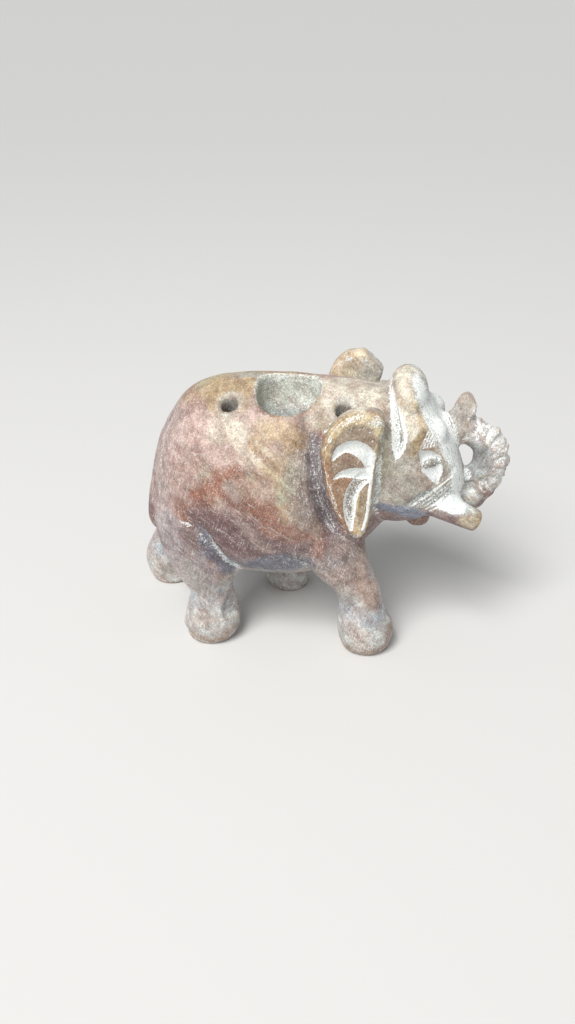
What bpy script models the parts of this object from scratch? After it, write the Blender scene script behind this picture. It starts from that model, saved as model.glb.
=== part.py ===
"""Carved stone elephant that holds incense: one solid, walking, with its trunk raised to its forehead.

The figure faces +X and its left side is +Y. It stands on four flat soles at Z = 0, and the origin
is below the middle of the box that it fills. Its back has a well for a cone, just right of the
spine, and four narrow holes for sticks, two on each side. Lengths are in metres.
"""

import math

import bmesh
import bpy
import numpy as np
from mathutils import Matrix, Vector

# The figure's nominal length, from the heel of the trailing hind foot to the front of the trunk.
LENGTH = 0.078

# The figure's proportions and carving are counted in shares of that length, 78 to the whole.
SHARES_TO_LENGTH = 78
SHARE = LENGTH / SHARES_TO_LENGTH

# The well for a cone, cut straight down into the back: a rounded square that narrows to its floor.
WELL_WIDTH = 0.0118
WELL_DEPTH = 0.0080
WELL_WALL_DEPTH = 0.0058
WELL_FLOOR_WIDTH = 0.0070
WELL_OFF_SPINE = 0.0029
WELL_FORWARD = 0.0006
WELL_SQUARENESS = 2.9

# The holes for sticks, two on each flank, leaning outwards, with a widened mouth.
STICK_HOLE_DIAMETER = 0.0030
STICK_MOUTH_DIAMETER = 0.0044
STICK_MOUTH_DEPTH = 0.0014
STICK_HOLE_DEPTH = 0.0110
STICK_HOLE_LEAN = math.radians(10)
STICK_HOLE_OFF_SPINE = 0.0072
WALL_BETWEEN_HOLES = 0.0032

# How far the well's cutter stands clear of the back, and a drill clear of its hole's mouth.
CUTTER_CLEARANCE = 0.004
DRILL_CLEARANCE = 0.002

# The fineness of the stone's surface, and how far its joints are softened.
CARVING_GRID = 0.55 * SHARE
SOFTENING = 0.5
SOFTENING_ROUNDS = 5
SURFACE_TRIANGLES = 9000

# How many sides round parts have, and how many sections lie between two rows of a table.
BODY_SIDES = 96
LEG_SIDES = 64
MASS_SIDES = 24
TUBE_ROUNDNESS = 5
WELL_SIDES = 48
STICK_HOLE_SIDES = 24
SECTIONS_PER_ROW = 6

# The torso, as (x, underside z, crest z, half width) from rump to neck. A squareness of two is oval.
TORSO_SQUARENESS = 2.15
TORSO = (
    (-26.3, 28.4, 35.6, 3.0),
    (-25.6, 23.4, 40.6, 7.0),
    (-23.6, 18.8, 46.6, 10.8),
    (-20.2, 16.0, 51.7, 13.4),
    (-14.8, 14.4, 54.6, 15.2),
    (-7.0, 13.6, 55.8, 16.0),
    (0.0, 13.4, 56.0, 16.2),
    (6.0, 14.2, 55.9, 15.2),
    (11.0, 16.6, 55.8, 12.8),
    (17.0, 22.4, 55.0, 10.4),
    (22.0, 29.4, 52.0, 7.6),
)

# The head, as (x, underside z, top z, half width) from nape to trunk root.
HEAD_SQUARENESS = 2.7
HEAD = (
    (14.5, 32.0, 52.0, 7.6),
    (18.0, 28.6, 55.0, 10.2),
    (22.0, 27.8, 55.2, 10.6),
    (26.0, 28.4, 54.1, 10.0),
    (29.0, 29.6, 50.6, 9.0),
    (31.8, 30.8, 46.6, 7.6),
    (33.9, 32.0, 42.0, 5.8),
    (35.4, 33.0, 38.0, 3.6),
)

# Each leg, as (z, x, outward y, half length, half width) from sole to hip or shoulder.
NEAR_HIND_LEG = (
    (-0.9, -15.7, 9.7, 3.4, 3.4),
    (0.6, -15.6, 9.7, 5.2, 4.9),
    (4.2, -15.3, 9.7, 6.2, 5.6),
    (8.2, -15.1, 9.7, 5.5, 5.2),
    (12.6, -15.4, 9.5, 4.7, 4.7),
    (17.0, -15.9, 9.2, 6.7, 5.6),
    (22.5, -17.0, 8.6, 8.0, 6.4),
    (30.0, -17.6, 7.8, 8.4, 7.2),
    (38.0, -16.8, 6.6, 7.0, 6.4),
    (43.0, -16.0, 5.4, 4.6, 4.4),
)
NEAR_FORELEG = (
    (-0.9, 17.7, 9.9, 3.4, 3.4),
    (0.6, 17.8, 9.9, 5.2, 4.9),
    (4.8, 17.6, 9.9, 6.0, 5.6),
    (8.8, 16.7, 9.8, 5.0, 5.1),
    (12.0, 16.2, 9.6, 4.5, 4.7),
    (15.4, 14.9, 9.4, 5.1, 5.1),
    (19.0, 12.2, 9.2, 6.3, 5.7),
    (23.4, 9.8, 8.8, 7.0, 6.2),
    (30.0, 9.4, 8.0, 6.8, 6.4),
    (37.0, 9.2, 6.6, 5.6, 5.4),
)
FAR_HIND_LEG = (
    (-0.9, -28.7, 10.0, 3.4, 3.4),
    (0.6, -28.7, 10.0, 5.0, 4.9),
    (4.6, -28.7, 10.0, 6.0, 5.6),
    (8.4, -28.4, 9.9, 5.5, 5.2),
    (12.6, -27.0, 9.7, 4.8, 4.7),
    (17.0, -23.8, 9.2, 5.8, 5.6),
    (22.5, -20.0, 8.6, 7.2, 6.4),
    (30.0, -17.8, 7.8, 8.2, 7.2),
    (38.0, -16.8, 6.6, 7.0, 6.4),
    (43.0, -16.0, 5.4, 4.6, 4.4),
)
FAR_FORELEG = (
    (-0.9, -0.7, 10.0, 3.4, 3.4),
    (0.6, -0.7, 10.0, 5.0, 4.9),
    (4.6, -0.6, 10.0, 5.9, 5.6),
    (8.6, -0.2, 9.9, 5.2, 5.2),
    (12.4, 0.8, 9.7, 4.6, 4.7),
    (17.0, 4.0, 9.3, 5.9, 5.5),
    (23.4, 7.2, 8.8, 6.9, 6.2),
    (30.0, 9.0, 8.0, 6.8, 6.4),
    (37.0, 9.2, 6.6, 5.6, 5.4),
)

# The outline of an ear seen from its side, as (x, z), and how each side's ear is set.
EAR_OUTLINE = (
    (13.9, 57.0),
    (17.3, 56.6),
    (18.8, 54.6),
    (18.0, 50.4),
    (17.4, 44.6),
    (17.3, 38.4),
    (16.7, 32.6),
    (14.9, 30.2),
    (12.2, 32.6),
    (9.6, 38.0),
    (8.1, 44.3),
    (7.5, 49.0),
    (8.6, 53.0),
    (11.0, 56.0),
)
EAR_THICKNESS = 3.9
EAR_ROUNDING = 0.8
EAR_OUTWARD = 10.5
EAR_SPLAY = 0.22
EAR_FLARE = 0.045
EAR_ROOT = 1.4
EAR_ROOT_TOP = 50.0
EAR_ROOT_FALL = 8.0
EAR_EDGE_ROUNDNESS = 2
EAR_SHIFTS = {-1: (0.0, -1.3), 1: (-0.5, 0.8)}

# The raised trunk, as (x, z, radius) from the mouth round to the forehead, and its flattened tip.
TRUNK = (
    (29.5, 34.0, 4.6),
    (34.6, 32.0, 4.0),
    (37.9, 34.6, 3.5),
    (39.8, 38.6, 3.6),
    (39.9, 42.4, 3.5),
    (37.8, 45.6, 3.1),
    (34.2, 47.1, 3.1),
    (30.4, 46.8, 3.5),
)
TRUNK_TIP = (
    (34.4, 47.0, 2.8),
    (34.0, 50.0, 2.8),
    (33.8, 52.6, 2.0),
    (34.1, 54.8, 0.9),
)
TRUNK_RINGS = 11
TRUNK_RING_RELIEF = 0.07
TRUNK_FLATTENING = 0.86

# A tusk, as (x, outward y, z, radius) from cheek to blunt end.
TUSK = (
    (28.5, 6.0, 34.4, 3.0),
    (33.0, 6.6, 32.6, 2.7),
    (38.2, 6.9, 30.4, 2.2),
)

# The tail that hangs against the rump, as (x, y, z, radius).
TAIL = (
    (-21.8, -1.0, 48.2, 1.2),
    (-24.2, -1.6, 42.8, 1.4),
    (-26.2, -2.0, 35.4, 1.4),
    (-27.3, -2.0, 28.4, 1.6),
    (-27.3, -2.0, 23.8, 1.9),
    (-26.6, -2.0, 21.2, 0.9),
)

# Rounded masses, as (x, outward y, z), (half length, half width, half height).
CROWN = ((22.8, 0.0, 54.0), (4.0, 7.6, 5.0))
EYEBROWS = ((28.0, 5.2, 48.7), (2.7, 2.7, 2.9))
LOWER_JAW = ((23.4, 0.0, 29.4), (4.6, 4.8, 2.8))
LOWER_LIP = ((27.0, 0.0, 26.9), (2.7, 2.7, 2.3))

# Strokes of the chisel on both sides: an (x, z, share of the depth) path, a half width, a depth, and
# the least distance outwards from the spine at which the stone is touched. The section of a stroke
# is the steeper the higher its steepness.
STROKE_STEEPNESS = 1.5
BEHIND_EAR = (
    (
        (7.2, 54.6, 0.0),
        (6.0, 52.0, 0.6),
        (5.5, 48.0, 1.0),
        (5.8, 43.0, 1.0),
        (7.3, 36.5, 1.0),
        (10.2, 30.2, 0.9),
        (14.0, 27.2, 0.5),
    ),
    2.4,
    2.8,
    4.0,
)
NAPE_WEDGE = (((19.6, 56.0, 1.0), (20.2, 51.0, 1.0), (21.2, 45.6, 0.4)), 1.4, 1.4, 2.0)
EAR_UPPER_SCROLL = (
    ((9.8, 46.0, 0.4), (11.7, 48.5, 1.0), (14.0, 49.0, 1.0), (15.8, 47.5, 0.9), (16.8, 45.6, 0.3)),
    1.3,
    1.1,
    11.0,
)
EAR_LOWER_SCROLL = (
    (
        (10.7, 42.3, 0.3),
        (12.6, 43.7, 0.9),
        (15.4, 43.4, 1.0),
        (15.0, 41.0, 0.9),
        (13.7, 38.2, 1.0),
        (13.6, 34.9, 0.8),
        (14.2, 32.0, 0.2),
    ),
    1.2,
    1.1,
    11.0,
)
HAUNCH_CREASE = (
    ((-17.4, 33.0, 0.0), (-15.2, 27.7, 0.8), (-12.7, 23.9, 1.0), (-9.6, 18.6, 0.8)),
    1.7,
    1.3,
    9.0,
)
CHEEK_LINE = (((23.1, 34.4, 0.3), (26.3, 36.7, 1.0), (32.3, 41.9, 0.6)), 1.0, 0.6, 4.0)
EYE_SOCKET = (((26.6, 45.4, 1.0), (27.8, 44.4, 1.0), (28.6, 41.8, 0.6)), 1.9, 0.8, 4.0)
# The eyeball is left standing in its socket, so its depth is negative.
EYEBALL = (((27.7, 44.3, 1.0), (27.9, 44.1, 1.0)), 1.1, -0.7, 4.0)
SIDE_STROKES = (
    BEHIND_EAR,
    NAPE_WEDGE,
    EAR_UPPER_SCROLL,
    EAR_LOWER_SCROLL,
    HAUNCH_CREASE,
    CHEEK_LINE,
    EYE_SOCKET,
    EYEBALL,
)

# The stone's own look, left plain here.
STONE_COLOUR = (0.47, 0.36, 0.31, 1.0)
STONE_ROUGHNESS = 0.55


def clear_scene():
    """Removes what the startup file or an earlier run left behind."""
    for obj in list(bpy.data.objects):
        bpy.data.objects.remove(obj)


def new_collection(name):
    """Adds an empty collection to the scene, in place of an earlier one of that name."""
    old = bpy.data.collections.get(name)
    if old:
        bpy.data.collections.remove(old)
    collection = bpy.data.collections.new(name)
    bpy.context.scene.collection.children.link(collection)
    return collection


def through(points, count, closed=False):
    """A smooth Catmull-Rom curve through the points, sampled evenly between them."""
    knots = np.array(points, float)
    if closed:
        ring = np.vstack([knots[-1:], knots, knots[:2]])
    else:
        ring = np.vstack([2 * knots[0] - knots[1], knots, 2 * knots[-1] - knots[-2]])
    spans = len(ring) - 3
    at = np.linspace(0, spans, count, endpoint=not closed)
    span = np.minimum(at.astype(int), spans - 1)
    t = (at - span)[:, None]
    before, start, end, after = (ring[span + k] for k in range(4))
    bend = 2 * before - 5 * start + 4 * end - after
    twist = 3 * start - 3 * end + after - before
    return start + 0.5 * t * (end - before + t * (bend + t * twist))


def solid_from_rings(name, rings):
    """A closed mesh object over rings of points, with a point at the middle of each end ring."""
    ring_count, sides = rings.shape[:2]
    mesh = bmesh.new()
    rows = [[mesh.verts.new(point) for point in ring] for ring in rings]
    ends = [mesh.verts.new(rings[end].mean(axis=0)) for end in (0, -1)]
    for row in range(ring_count - 1):
        for side in range(sides):
            after = (side + 1) % sides
            mesh.faces.new((rows[row][side], rows[row][after], rows[row + 1][after], rows[row + 1][side]))
    for side in range(sides):
        after = (side + 1) % sides
        mesh.faces.new((ends[0], rows[0][after], rows[0][side]))
        mesh.faces.new((ends[1], rows[-1][side], rows[-1][after]))
    bmesh.ops.recalc_face_normals(mesh, faces=mesh.faces)
    return object_from_bmesh(name, mesh)


def object_from_bmesh(name, mesh):
    """Links a bmesh to the scene as an object, and frees it."""
    data = bpy.data.meshes.new(name)
    mesh.to_mesh(data)
    mesh.free()
    obj = bpy.data.objects.new(name, data)
    bpy.context.scene.collection.objects.link(obj)
    return obj


def squared_circle(sides, squareness):
    """Points round a unit circle that bulges towards a square as its exponent passes two."""
    turn = np.linspace(0, math.tau, sides, endpoint=False)
    round_points = np.column_stack([np.cos(turn), np.sin(turn)])
    return np.sign(round_points) * np.abs(round_points) ** (2 / squareness)


def barrel(name, stations, squareness):
    """A body along X: at each station a section with its own underside, crest and half width."""
    x, low, high, half_width = through(stations, SECTIONS_PER_ROW * len(stations)).T * SHARE
    across, upwards = squared_circle(BODY_SIDES, squareness).T
    rings = np.empty((len(x), len(across), 3))
    rings[:, :, 0] = x[:, None]
    rings[:, :, 1] = half_width[:, None] * across
    rings[:, :, 2] = ((low + high) / 2)[:, None] + ((high - low) / 2)[:, None] * upwards
    return solid_from_rings(name, rings)


def leg(name, stations, side):
    """A leg along Z, of oval sections, on the side that the sign gives."""
    sections = through(stations, SECTIONS_PER_ROW * len(stations)) * SHARE
    z, x, outward, half_length, half_width = sections.T
    turn = np.linspace(0, math.tau, LEG_SIDES, endpoint=False)
    rings = np.empty((len(z), len(turn), 3))
    rings[:, :, 0] = x[:, None] + half_length[:, None] * np.cos(turn)
    rings[:, :, 1] = side * (outward[:, None] + half_width[:, None] * np.sin(turn))
    rings[:, :, 2] = z[:, None]
    return solid_from_rings(name, rings)


def mass(name, centre, halves, side=1):
    """An egg-shaped mass of stone."""
    mesh = bmesh.new()
    bmesh.ops.create_uvsphere(mesh, u_segments=MASS_SIDES, v_segments=MASS_SIDES // 2, radius=1)
    place = Vector((centre[0], side * centre[1], centre[2])) * SHARE
    stretch = Matrix.Diagonal((*(Vector(halves) * SHARE), 1))
    bmesh.ops.transform(mesh, verts=mesh.verts, matrix=Matrix.Translation(place) @ stretch)
    return object_from_bmesh(name, mesh)


def mesh_of(obj):
    """The object's evaluated mesh, in world space and with its doubles merged."""
    bpy.context.view_layer.update()
    data = bpy.data.meshes.new_from_object(obj.evaluated_get(bpy.context.evaluated_depsgraph_get()))
    data.transform(obj.matrix_world)
    mesh = bmesh.new()
    mesh.from_mesh(data)
    bmesh.ops.remove_doubles(mesh, verts=mesh.verts, dist=0.01 * SHARE)
    mesh.to_mesh(data)
    mesh.free()
    return data


def meshed(obj):
    """Puts a plain mesh object in place of a curve or of an object with modifiers."""
    name, data = obj.name, mesh_of(obj)
    bpy.data.objects.remove(obj)
    made = bpy.data.objects.new(name, data)
    bpy.context.scene.collection.objects.link(made)
    return made


def tube(name, path, radii):
    """A round bar along a path, as a bevelled curve with filled caps, made a mesh."""
    curve = bpy.data.curves.new(name, "CURVE")
    curve.dimensions = "3D"
    curve.bevel_depth = SHARE
    curve.bevel_resolution = TUBE_ROUNDNESS
    curve.use_fill_caps = True
    spline = curve.splines.new("POLY")
    spline.points.add(len(path) - 1)
    for point, place, radius in zip(spline.points, path, radii):
        point.co = (*(Vector(place) * SHARE), 1)
        point.radius = radius
    obj = bpy.data.objects.new(name, curve)
    bpy.context.scene.collection.objects.link(obj)
    return meshed(obj)


def trunk():
    """The trunk's arch, ringed along its length, and the flattened tip that stands on it."""
    x, z, radius = through(TRUNK, 2 * SECTIONS_PER_ROW * TRUNK_RINGS).T
    along = np.linspace(0, TRUNK_RINGS * math.pi, len(radius))
    ringed = radius * (1 + TRUNK_RING_RELIEF * (2 * np.abs(np.sin(along)) - 1))
    arch = tube("trunk_arch", np.column_stack([x, 0 * x, z]), ringed)
    x, z, radius = through(TRUNK_TIP, SECTIONS_PER_ROW * len(TRUNK_TIP)).T
    tip = tube("trunk_tip", np.column_stack([x, 0 * x, z]), radius)
    for piece in (arch, tip):
        piece.data.transform(Matrix.Diagonal((1, TRUNK_FLATTENING, 1, 1)))
    return [arch, tip]


def ear(name, side):
    """A thick leaf of stone, cut to the ear's outline, splayed at the back and flared at the foot."""
    outline = through(EAR_OUTLINE, SECTIONS_PER_ROW * len(EAR_OUTLINE), closed=True)
    curve = bpy.data.curves.new(name, "CURVE")
    curve.dimensions = "2D"
    curve.fill_mode = "BOTH"
    curve.extrude = (EAR_THICKNESS / 2 - EAR_ROUNDING) * SHARE
    curve.bevel_depth = EAR_ROUNDING * SHARE
    curve.offset = -EAR_ROUNDING * SHARE
    curve.bevel_resolution = EAR_EDGE_ROUNDNESS
    spline = curve.splines.new("POLY")
    spline.points.add(len(outline) - 1)
    for point, (x, z) in zip(spline.points, outline):
        point.co = (x * SHARE, z * SHARE, 0, 1)
    spline.use_cyclic_u = True
    flat = bpy.data.objects.new(name, curve)
    bpy.context.scene.collection.objects.link(flat)
    leaf = meshed(flat)
    front, top = max(x for x, _ in EAR_OUTLINE), max(z for _, z in EAR_OUTLINE)
    forward, raised = EAR_SHIFTS[side]
    for vertex in leaf.data.vertices:
        x, z, through_leaf = vertex.co
        if through_leaf < 0:
            through_leaf *= 1 + EAR_ROOT * min(max((EAR_ROOT_TOP - z / SHARE) / EAR_ROOT_FALL, 0), 1)
        outward = EAR_OUTWARD * SHARE + EAR_SPLAY * (front * SHARE - x) + EAR_FLARE * (top * SHARE - z)
        vertex.co = (x + forward * SHARE, side * (outward + through_leaf), z + raised * SHARE)
    mesh = bmesh.new()
    mesh.from_mesh(leaf.data)
    bmesh.ops.recalc_face_normals(mesh, faces=mesh.faces)
    mesh.to_mesh(leaf.data)
    mesh.free()
    return leaf


def rough_masses():
    """Every mass that the figure is roughed out from, overlapping its neighbours."""
    pieces = [
        barrel("torso", TORSO, TORSO_SQUARENESS),
        barrel("head", HEAD, HEAD_SQUARENESS),
        leg("near_hind_leg", NEAR_HIND_LEG, -1),
        leg("near_foreleg", NEAR_FORELEG, -1),
        leg("far_hind_leg", FAR_HIND_LEG, 1),
        leg("far_foreleg", FAR_FORELEG, 1),
        mass("crown", *CROWN),
        mass("lower_jaw", *LOWER_JAW),
        mass("lower_lip", *LOWER_LIP),
        *trunk(),
    ]
    tail = through(TAIL, SECTIONS_PER_ROW * len(TAIL))
    pieces.append(tube("tail", tail[:, :3], tail[:, 3]))
    for side_name, side in (("near", -1), ("far", 1)):
        tusk = through(TUSK, SECTIONS_PER_ROW * len(TUSK))
        tusk[:, 1] *= side
        pieces.append(tube(f"{side_name}_tusk", tusk[:, :3], tusk[:, 3]))
        pieces.append(mass(f"{side_name}_eyebrow", *EYEBROWS, side))
        pieces.append(ear(f"{side_name}_ear", side))
    return pieces


def merged(pieces):
    """One even skin over all the masses, with the joints between them softened."""
    mesh = bmesh.new()
    for piece in pieces:
        mesh.from_mesh(piece.data)
        bpy.data.objects.remove(piece)
    blank = object_from_bmesh("blank", mesh)
    skin = blank.modifiers.new("skin", "REMESH")
    skin.mode = "VOXEL"
    skin.voxel_size = CARVING_GRID
    soften = blank.modifiers.new("soften", "SMOOTH")
    soften.factor = SOFTENING
    soften.iterations = SOFTENING_ROUNDS
    return meshed(blank)


def trough(points, path, half_width):
    """How deep a stroke cuts at each point, from nothing at its edges to its path's own share.

    The path's straight pieces give the nearest place along the stroke, and the cut's section is a
    rounded valley over the distance from it.
    """
    start, along = path[:-1, :2], np.diff(path[:, :2], axis=0)
    offset = points[:, None] - start
    reach = np.clip((offset * along).sum(2) / (along * along).sum(1), 0, 1)
    away = np.linalg.norm(offset - reach[:, :, None] * along, axis=2)
    share = path[:-1, 2] + reach * np.diff(path[:, 2])
    return (share * np.clip(1 - (away / half_width) ** 2, 0, 1) ** STROKE_STEEPNESS).max(axis=1)


def carve(blank):
    """Cuts the strokes into the stone that faces each side."""
    places = np.empty(3 * len(blank.data.vertices))
    normals = np.empty(3 * len(blank.data.vertices))
    blank.data.vertices.foreach_get("co", places)
    blank.data.vertices.foreach_get("normal", normals)
    places, normals = places.reshape(-1, 3), normals.reshape(-1, 3)
    for side in (-1, 1):
        facing = np.clip(2 * side * normals[:, 1], 0, 1)
        for path, half_width, depth, least_outward in SIDE_STROKES:
            stroke = through(path, SECTIONS_PER_ROW * len(path))
            cut_share = trough(places[:, [0, 2]] / SHARE, stroke, half_width)
            on_side = np.clip(side * places[:, 1] / SHARE - least_outward, 0, 1)
            places[:, 1] -= side * depth * SHARE * cut_share * facing * on_side
    blank.data.vertices.foreach_set("co", places.ravel())
    blank.data.update()


def thinned(blank):
    """The same surface with fewer triangles, most of them left where it curves."""
    blank.modifiers.new("corners", "TRIANGULATE")
    fewer = blank.modifiers.new("fewer", "DECIMATE")
    fewer.ratio = SURFACE_TRIANGLES / (2 * len(blank.data.polygons))
    return meshed(blank)


def centre_over_origin(blank):
    """Moves the stone so that its box is centred on the origin, and returns how far it moved."""
    corners = np.array([vertex.co for vertex in blank.data.vertices])
    middle = (corners.min(axis=0) + corners.max(axis=0)) / 2
    shift = Vector((-middle[0], -middle[1], 0))
    blank.data.transform(Matrix.Translation(shift))
    return shift


def bored(name, levels, outline):
    """A cutter that stands on end: at each (height, half width), the outline at that half width."""
    rings = np.empty((len(levels), len(outline), 3))
    for ring, (height, half_width) in zip(rings, levels):
        ring[:, :2] = half_width * outline
        ring[:, 2] = height
    return solid_from_rings(name, rings)


def cut(stone, cutter, cutters):
    """Takes the cutter's shape away from the stone."""
    for holder in list(cutter.users_collection):
        holder.objects.unlink(cutter)
    cutters.objects.link(cutter)
    cutter.hide_render = True
    cutter.display_type = "WIRE"
    away = stone.modifiers.new(cutter.name, "BOOLEAN")
    away.operation = "DIFFERENCE"
    away.solver = "EXACT"
    away.object = cutter


def floor_cutter():
    """A slab that grinds the four soles off flat."""
    bpy.ops.mesh.primitive_cube_add(size=2 * LENGTH, location=(0, 0, -LENGTH))
    slab = bpy.context.object
    slab.name = "sole_grinder"
    return slab


def well_cutter(shift, back):
    """The cutter for the cone's well, beside the crest of the back."""
    levels = (
        (back + CUTTER_CLEARANCE, WELL_WIDTH / 2),
        (back - WELL_WALL_DEPTH, WELL_WIDTH / 2),
        (back - WELL_DEPTH, WELL_FLOOR_WIDTH / 2),
    )
    cutter = bored("well_cutter", levels, squared_circle(WELL_SIDES, WELL_SQUARENESS))
    cutter.data.transform(Matrix.Translation((shift.x + WELL_FORWARD, shift.y - WELL_OFF_SPINE, 0)))
    return cutter


def stick_hole_cutters(shift, back):
    """Four slanting drills, each widened by a cone at the mouth of its hole."""
    along = WELL_WIDTH / 2 + WALL_BETWEEN_HOLES + STICK_HOLE_DIAMETER / 2
    half_width = max(station[3] for station in TORSO) * SHARE
    drop = 1 - math.sqrt(1 - (STICK_HOLE_OFF_SPINE / half_width) ** 2)
    drill, mouth = STICK_HOLE_DIAMETER / 2, STICK_MOUTH_DIAMETER / 2
    cone_top = STICK_MOUTH_DEPTH / 2
    levels = (
        (-STICK_HOLE_DEPTH, drill),
        (-STICK_MOUTH_DEPTH, drill),
        (cone_top, mouth + (mouth - drill) / 2),
        (cone_top + DRILL_CLEARANCE, mouth + (mouth - drill) / 2),
    )
    found = []
    for end_name, end in (("rear", -1), ("front", 1)):
        for side_name, side in (("right", -1), ("left", 1)):
            cutter = bored(f"{end_name}_{side_name}_drill", levels, squared_circle(STICK_HOLE_SIDES, 2))
            forward = shift.x + WELL_FORWARD + end * along
            place = Vector((forward, shift.y + side * STICK_HOLE_OFF_SPINE, back - drop * half_width))
            lean = Matrix.Rotation(-side * STICK_HOLE_LEAN, 4, "X")
            cutter.data.transform(Matrix.Translation(place) @ lean)
            found.append(cutter)
    return found


def stone_material():
    """The stone, as one even colour."""
    material = bpy.data.materials.new("stone")
    material.use_nodes = True
    shader = material.node_tree.nodes["Principled BSDF"]
    shader.inputs["Base Color"].default_value = STONE_COLOUR
    shader.inputs["Roughness"].default_value = STONE_ROUGHNESS
    shader.inputs["Metallic"].default_value = 0.0
    return material


def main():
    clear_scene()
    holder = new_collection("elephant_incense_holder")
    cutters = new_collection("cutters")
    blank = merged(rough_masses())
    carve(blank)
    stone = thinned(blank)
    shift = centre_over_origin(stone)
    stone.name = "carved_elephant"
    for user in list(stone.users_collection):
        user.objects.unlink(stone)
    holder.objects.link(stone)
    stone.data.materials.clear()
    stone.data.materials.append(stone_material())
    back = max(station[2] for station in TORSO) * SHARE
    for cutter in (floor_cutter(), well_cutter(shift, back), *stick_hole_cutters(shift, back)):
        cut(stone, cutter, cutters)


main()
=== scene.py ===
"""A small carved stone elephant that holds incense, standing on a plain pale table in soft light."""
import math

import bmesh
import bpy
import numpy as np
from mathutils import Matrix, Vector


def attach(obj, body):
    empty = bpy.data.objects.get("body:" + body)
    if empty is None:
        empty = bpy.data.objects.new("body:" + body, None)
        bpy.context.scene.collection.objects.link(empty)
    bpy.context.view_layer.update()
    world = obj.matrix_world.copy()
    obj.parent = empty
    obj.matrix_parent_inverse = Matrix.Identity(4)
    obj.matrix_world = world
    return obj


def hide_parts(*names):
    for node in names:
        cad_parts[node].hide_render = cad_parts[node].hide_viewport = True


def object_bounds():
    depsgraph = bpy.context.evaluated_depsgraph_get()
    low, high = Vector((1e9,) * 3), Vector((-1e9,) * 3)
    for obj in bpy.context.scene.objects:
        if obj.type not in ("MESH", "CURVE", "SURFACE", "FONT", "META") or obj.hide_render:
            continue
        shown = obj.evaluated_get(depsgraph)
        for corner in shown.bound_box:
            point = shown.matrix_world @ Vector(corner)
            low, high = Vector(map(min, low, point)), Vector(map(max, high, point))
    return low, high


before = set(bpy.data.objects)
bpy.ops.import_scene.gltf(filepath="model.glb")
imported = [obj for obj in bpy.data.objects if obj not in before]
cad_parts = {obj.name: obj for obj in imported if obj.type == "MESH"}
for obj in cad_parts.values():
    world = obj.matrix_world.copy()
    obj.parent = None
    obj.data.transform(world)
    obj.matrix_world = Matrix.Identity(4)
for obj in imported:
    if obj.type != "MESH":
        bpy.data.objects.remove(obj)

solid_box = [list(corner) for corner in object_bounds()]

# ---- The camera
# It looks down on the elephant's right side from a little ahead of its middle, close by, as a
# person holding a telephone over a table does.
CAMERA_PITCH = math.radians(33)
CAMERA_TURN = math.radians(6)
CAMERA_DISTANCE = 0.1674
CAMERA_AIM = Vector((-0.0045, 0.0, 0.02566))
CAMERA_LENS = 28.0
SENSOR = 36.0
NEAREST_SEEN = 0.005

looking = Vector(
    (
        -math.sin(CAMERA_TURN) * math.cos(CAMERA_PITCH),
        math.cos(CAMERA_TURN) * math.cos(CAMERA_PITCH),
        -math.sin(CAMERA_PITCH),
    )
)
rightwards = Vector((math.cos(CAMERA_TURN), math.sin(CAMERA_TURN), 0))
upwards = rightwards.cross(looking)
placing = Matrix((rightwards, upwards, -looking)).transposed().to_4x4()
placing.translation = CAMERA_AIM - looking * CAMERA_DISTANCE
camera_data = bpy.data.cameras.new("camera")
camera_data.lens = CAMERA_LENS
camera_data.sensor_width = SENSOR
camera_data.clip_start = NEAREST_SEEN
camera = bpy.data.objects.new("camera", camera_data)
camera.matrix_world = placing
bpy.context.scene.collection.objects.link(camera)
bpy.context.scene.camera = camera

# ---- The table and the light
# A plain pale table top that runs out of sight, a broad soft light from over the elephant's right
# shoulder, a small lamp that gives the polish its gleam, and an even pale room.
TABLE_SIZE = 60.0
TABLE_COLOUR = (0.66, 0.65, 0.63, 1)
TABLE_ROUGHNESS = 0.8
ROOM_COLOUR = (0.94, 0.97, 1.0, 1)
ROOM_STRENGTH = 0.42
DAYLIGHT_FROM = Vector((-0.30, -0.55, 0.80))
DAYLIGHT_STRENGTH = 2.4
DAYLIGHT_SPREAD = math.radians(34)
LAMP_PLACE = Vector((-0.10, -0.16, 0.42))
LAMP_SIDE = 0.12
LAMP_POWER = 0.7


def new_material(name):
    """A node material, with its node tree and its shader node."""
    material = bpy.data.materials.new(name)
    material.use_nodes = True
    made = material.node_tree
    return material, made, made.nodes["Principled BSDF"]


half = TABLE_SIZE / 2
table_corners = [(-half, -half, 0), (half, -half, 0), (half, half, 0), (-half, half, 0)]
table_mesh = bpy.data.meshes.new("table_top")
table_mesh.from_pydata(table_corners, [], [(0, 1, 2, 3)])
table_top = bpy.data.objects.new("table_top", table_mesh)
bpy.context.scene.collection.objects.link(table_top)
table_material, _, table_shader = new_material("pale_table")
table_shader.inputs["Base Color"].default_value = TABLE_COLOUR
table_shader.inputs["Roughness"].default_value = TABLE_ROUGHNESS
table_mesh.materials.append(table_material)

daylight_data = bpy.data.lights.new("daylight", "SUN")
daylight_data.energy = DAYLIGHT_STRENGTH
daylight_data.angle = DAYLIGHT_SPREAD
daylight = bpy.data.objects.new("daylight", daylight_data)
daylight.rotation_euler = (-DAYLIGHT_FROM).to_track_quat("-Z", "Y").to_euler()
bpy.context.scene.collection.objects.link(daylight)
lamp_data = bpy.data.lights.new("lamp", "AREA")
lamp_data.size = LAMP_SIDE
lamp_data.energy = LAMP_POWER
lamp = bpy.data.objects.new("lamp", lamp_data)
lamp.location = LAMP_PLACE
lamp.rotation_euler = (-LAMP_PLACE).to_track_quat("-Z", "Y").to_euler()
bpy.context.scene.collection.objects.link(lamp)

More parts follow.
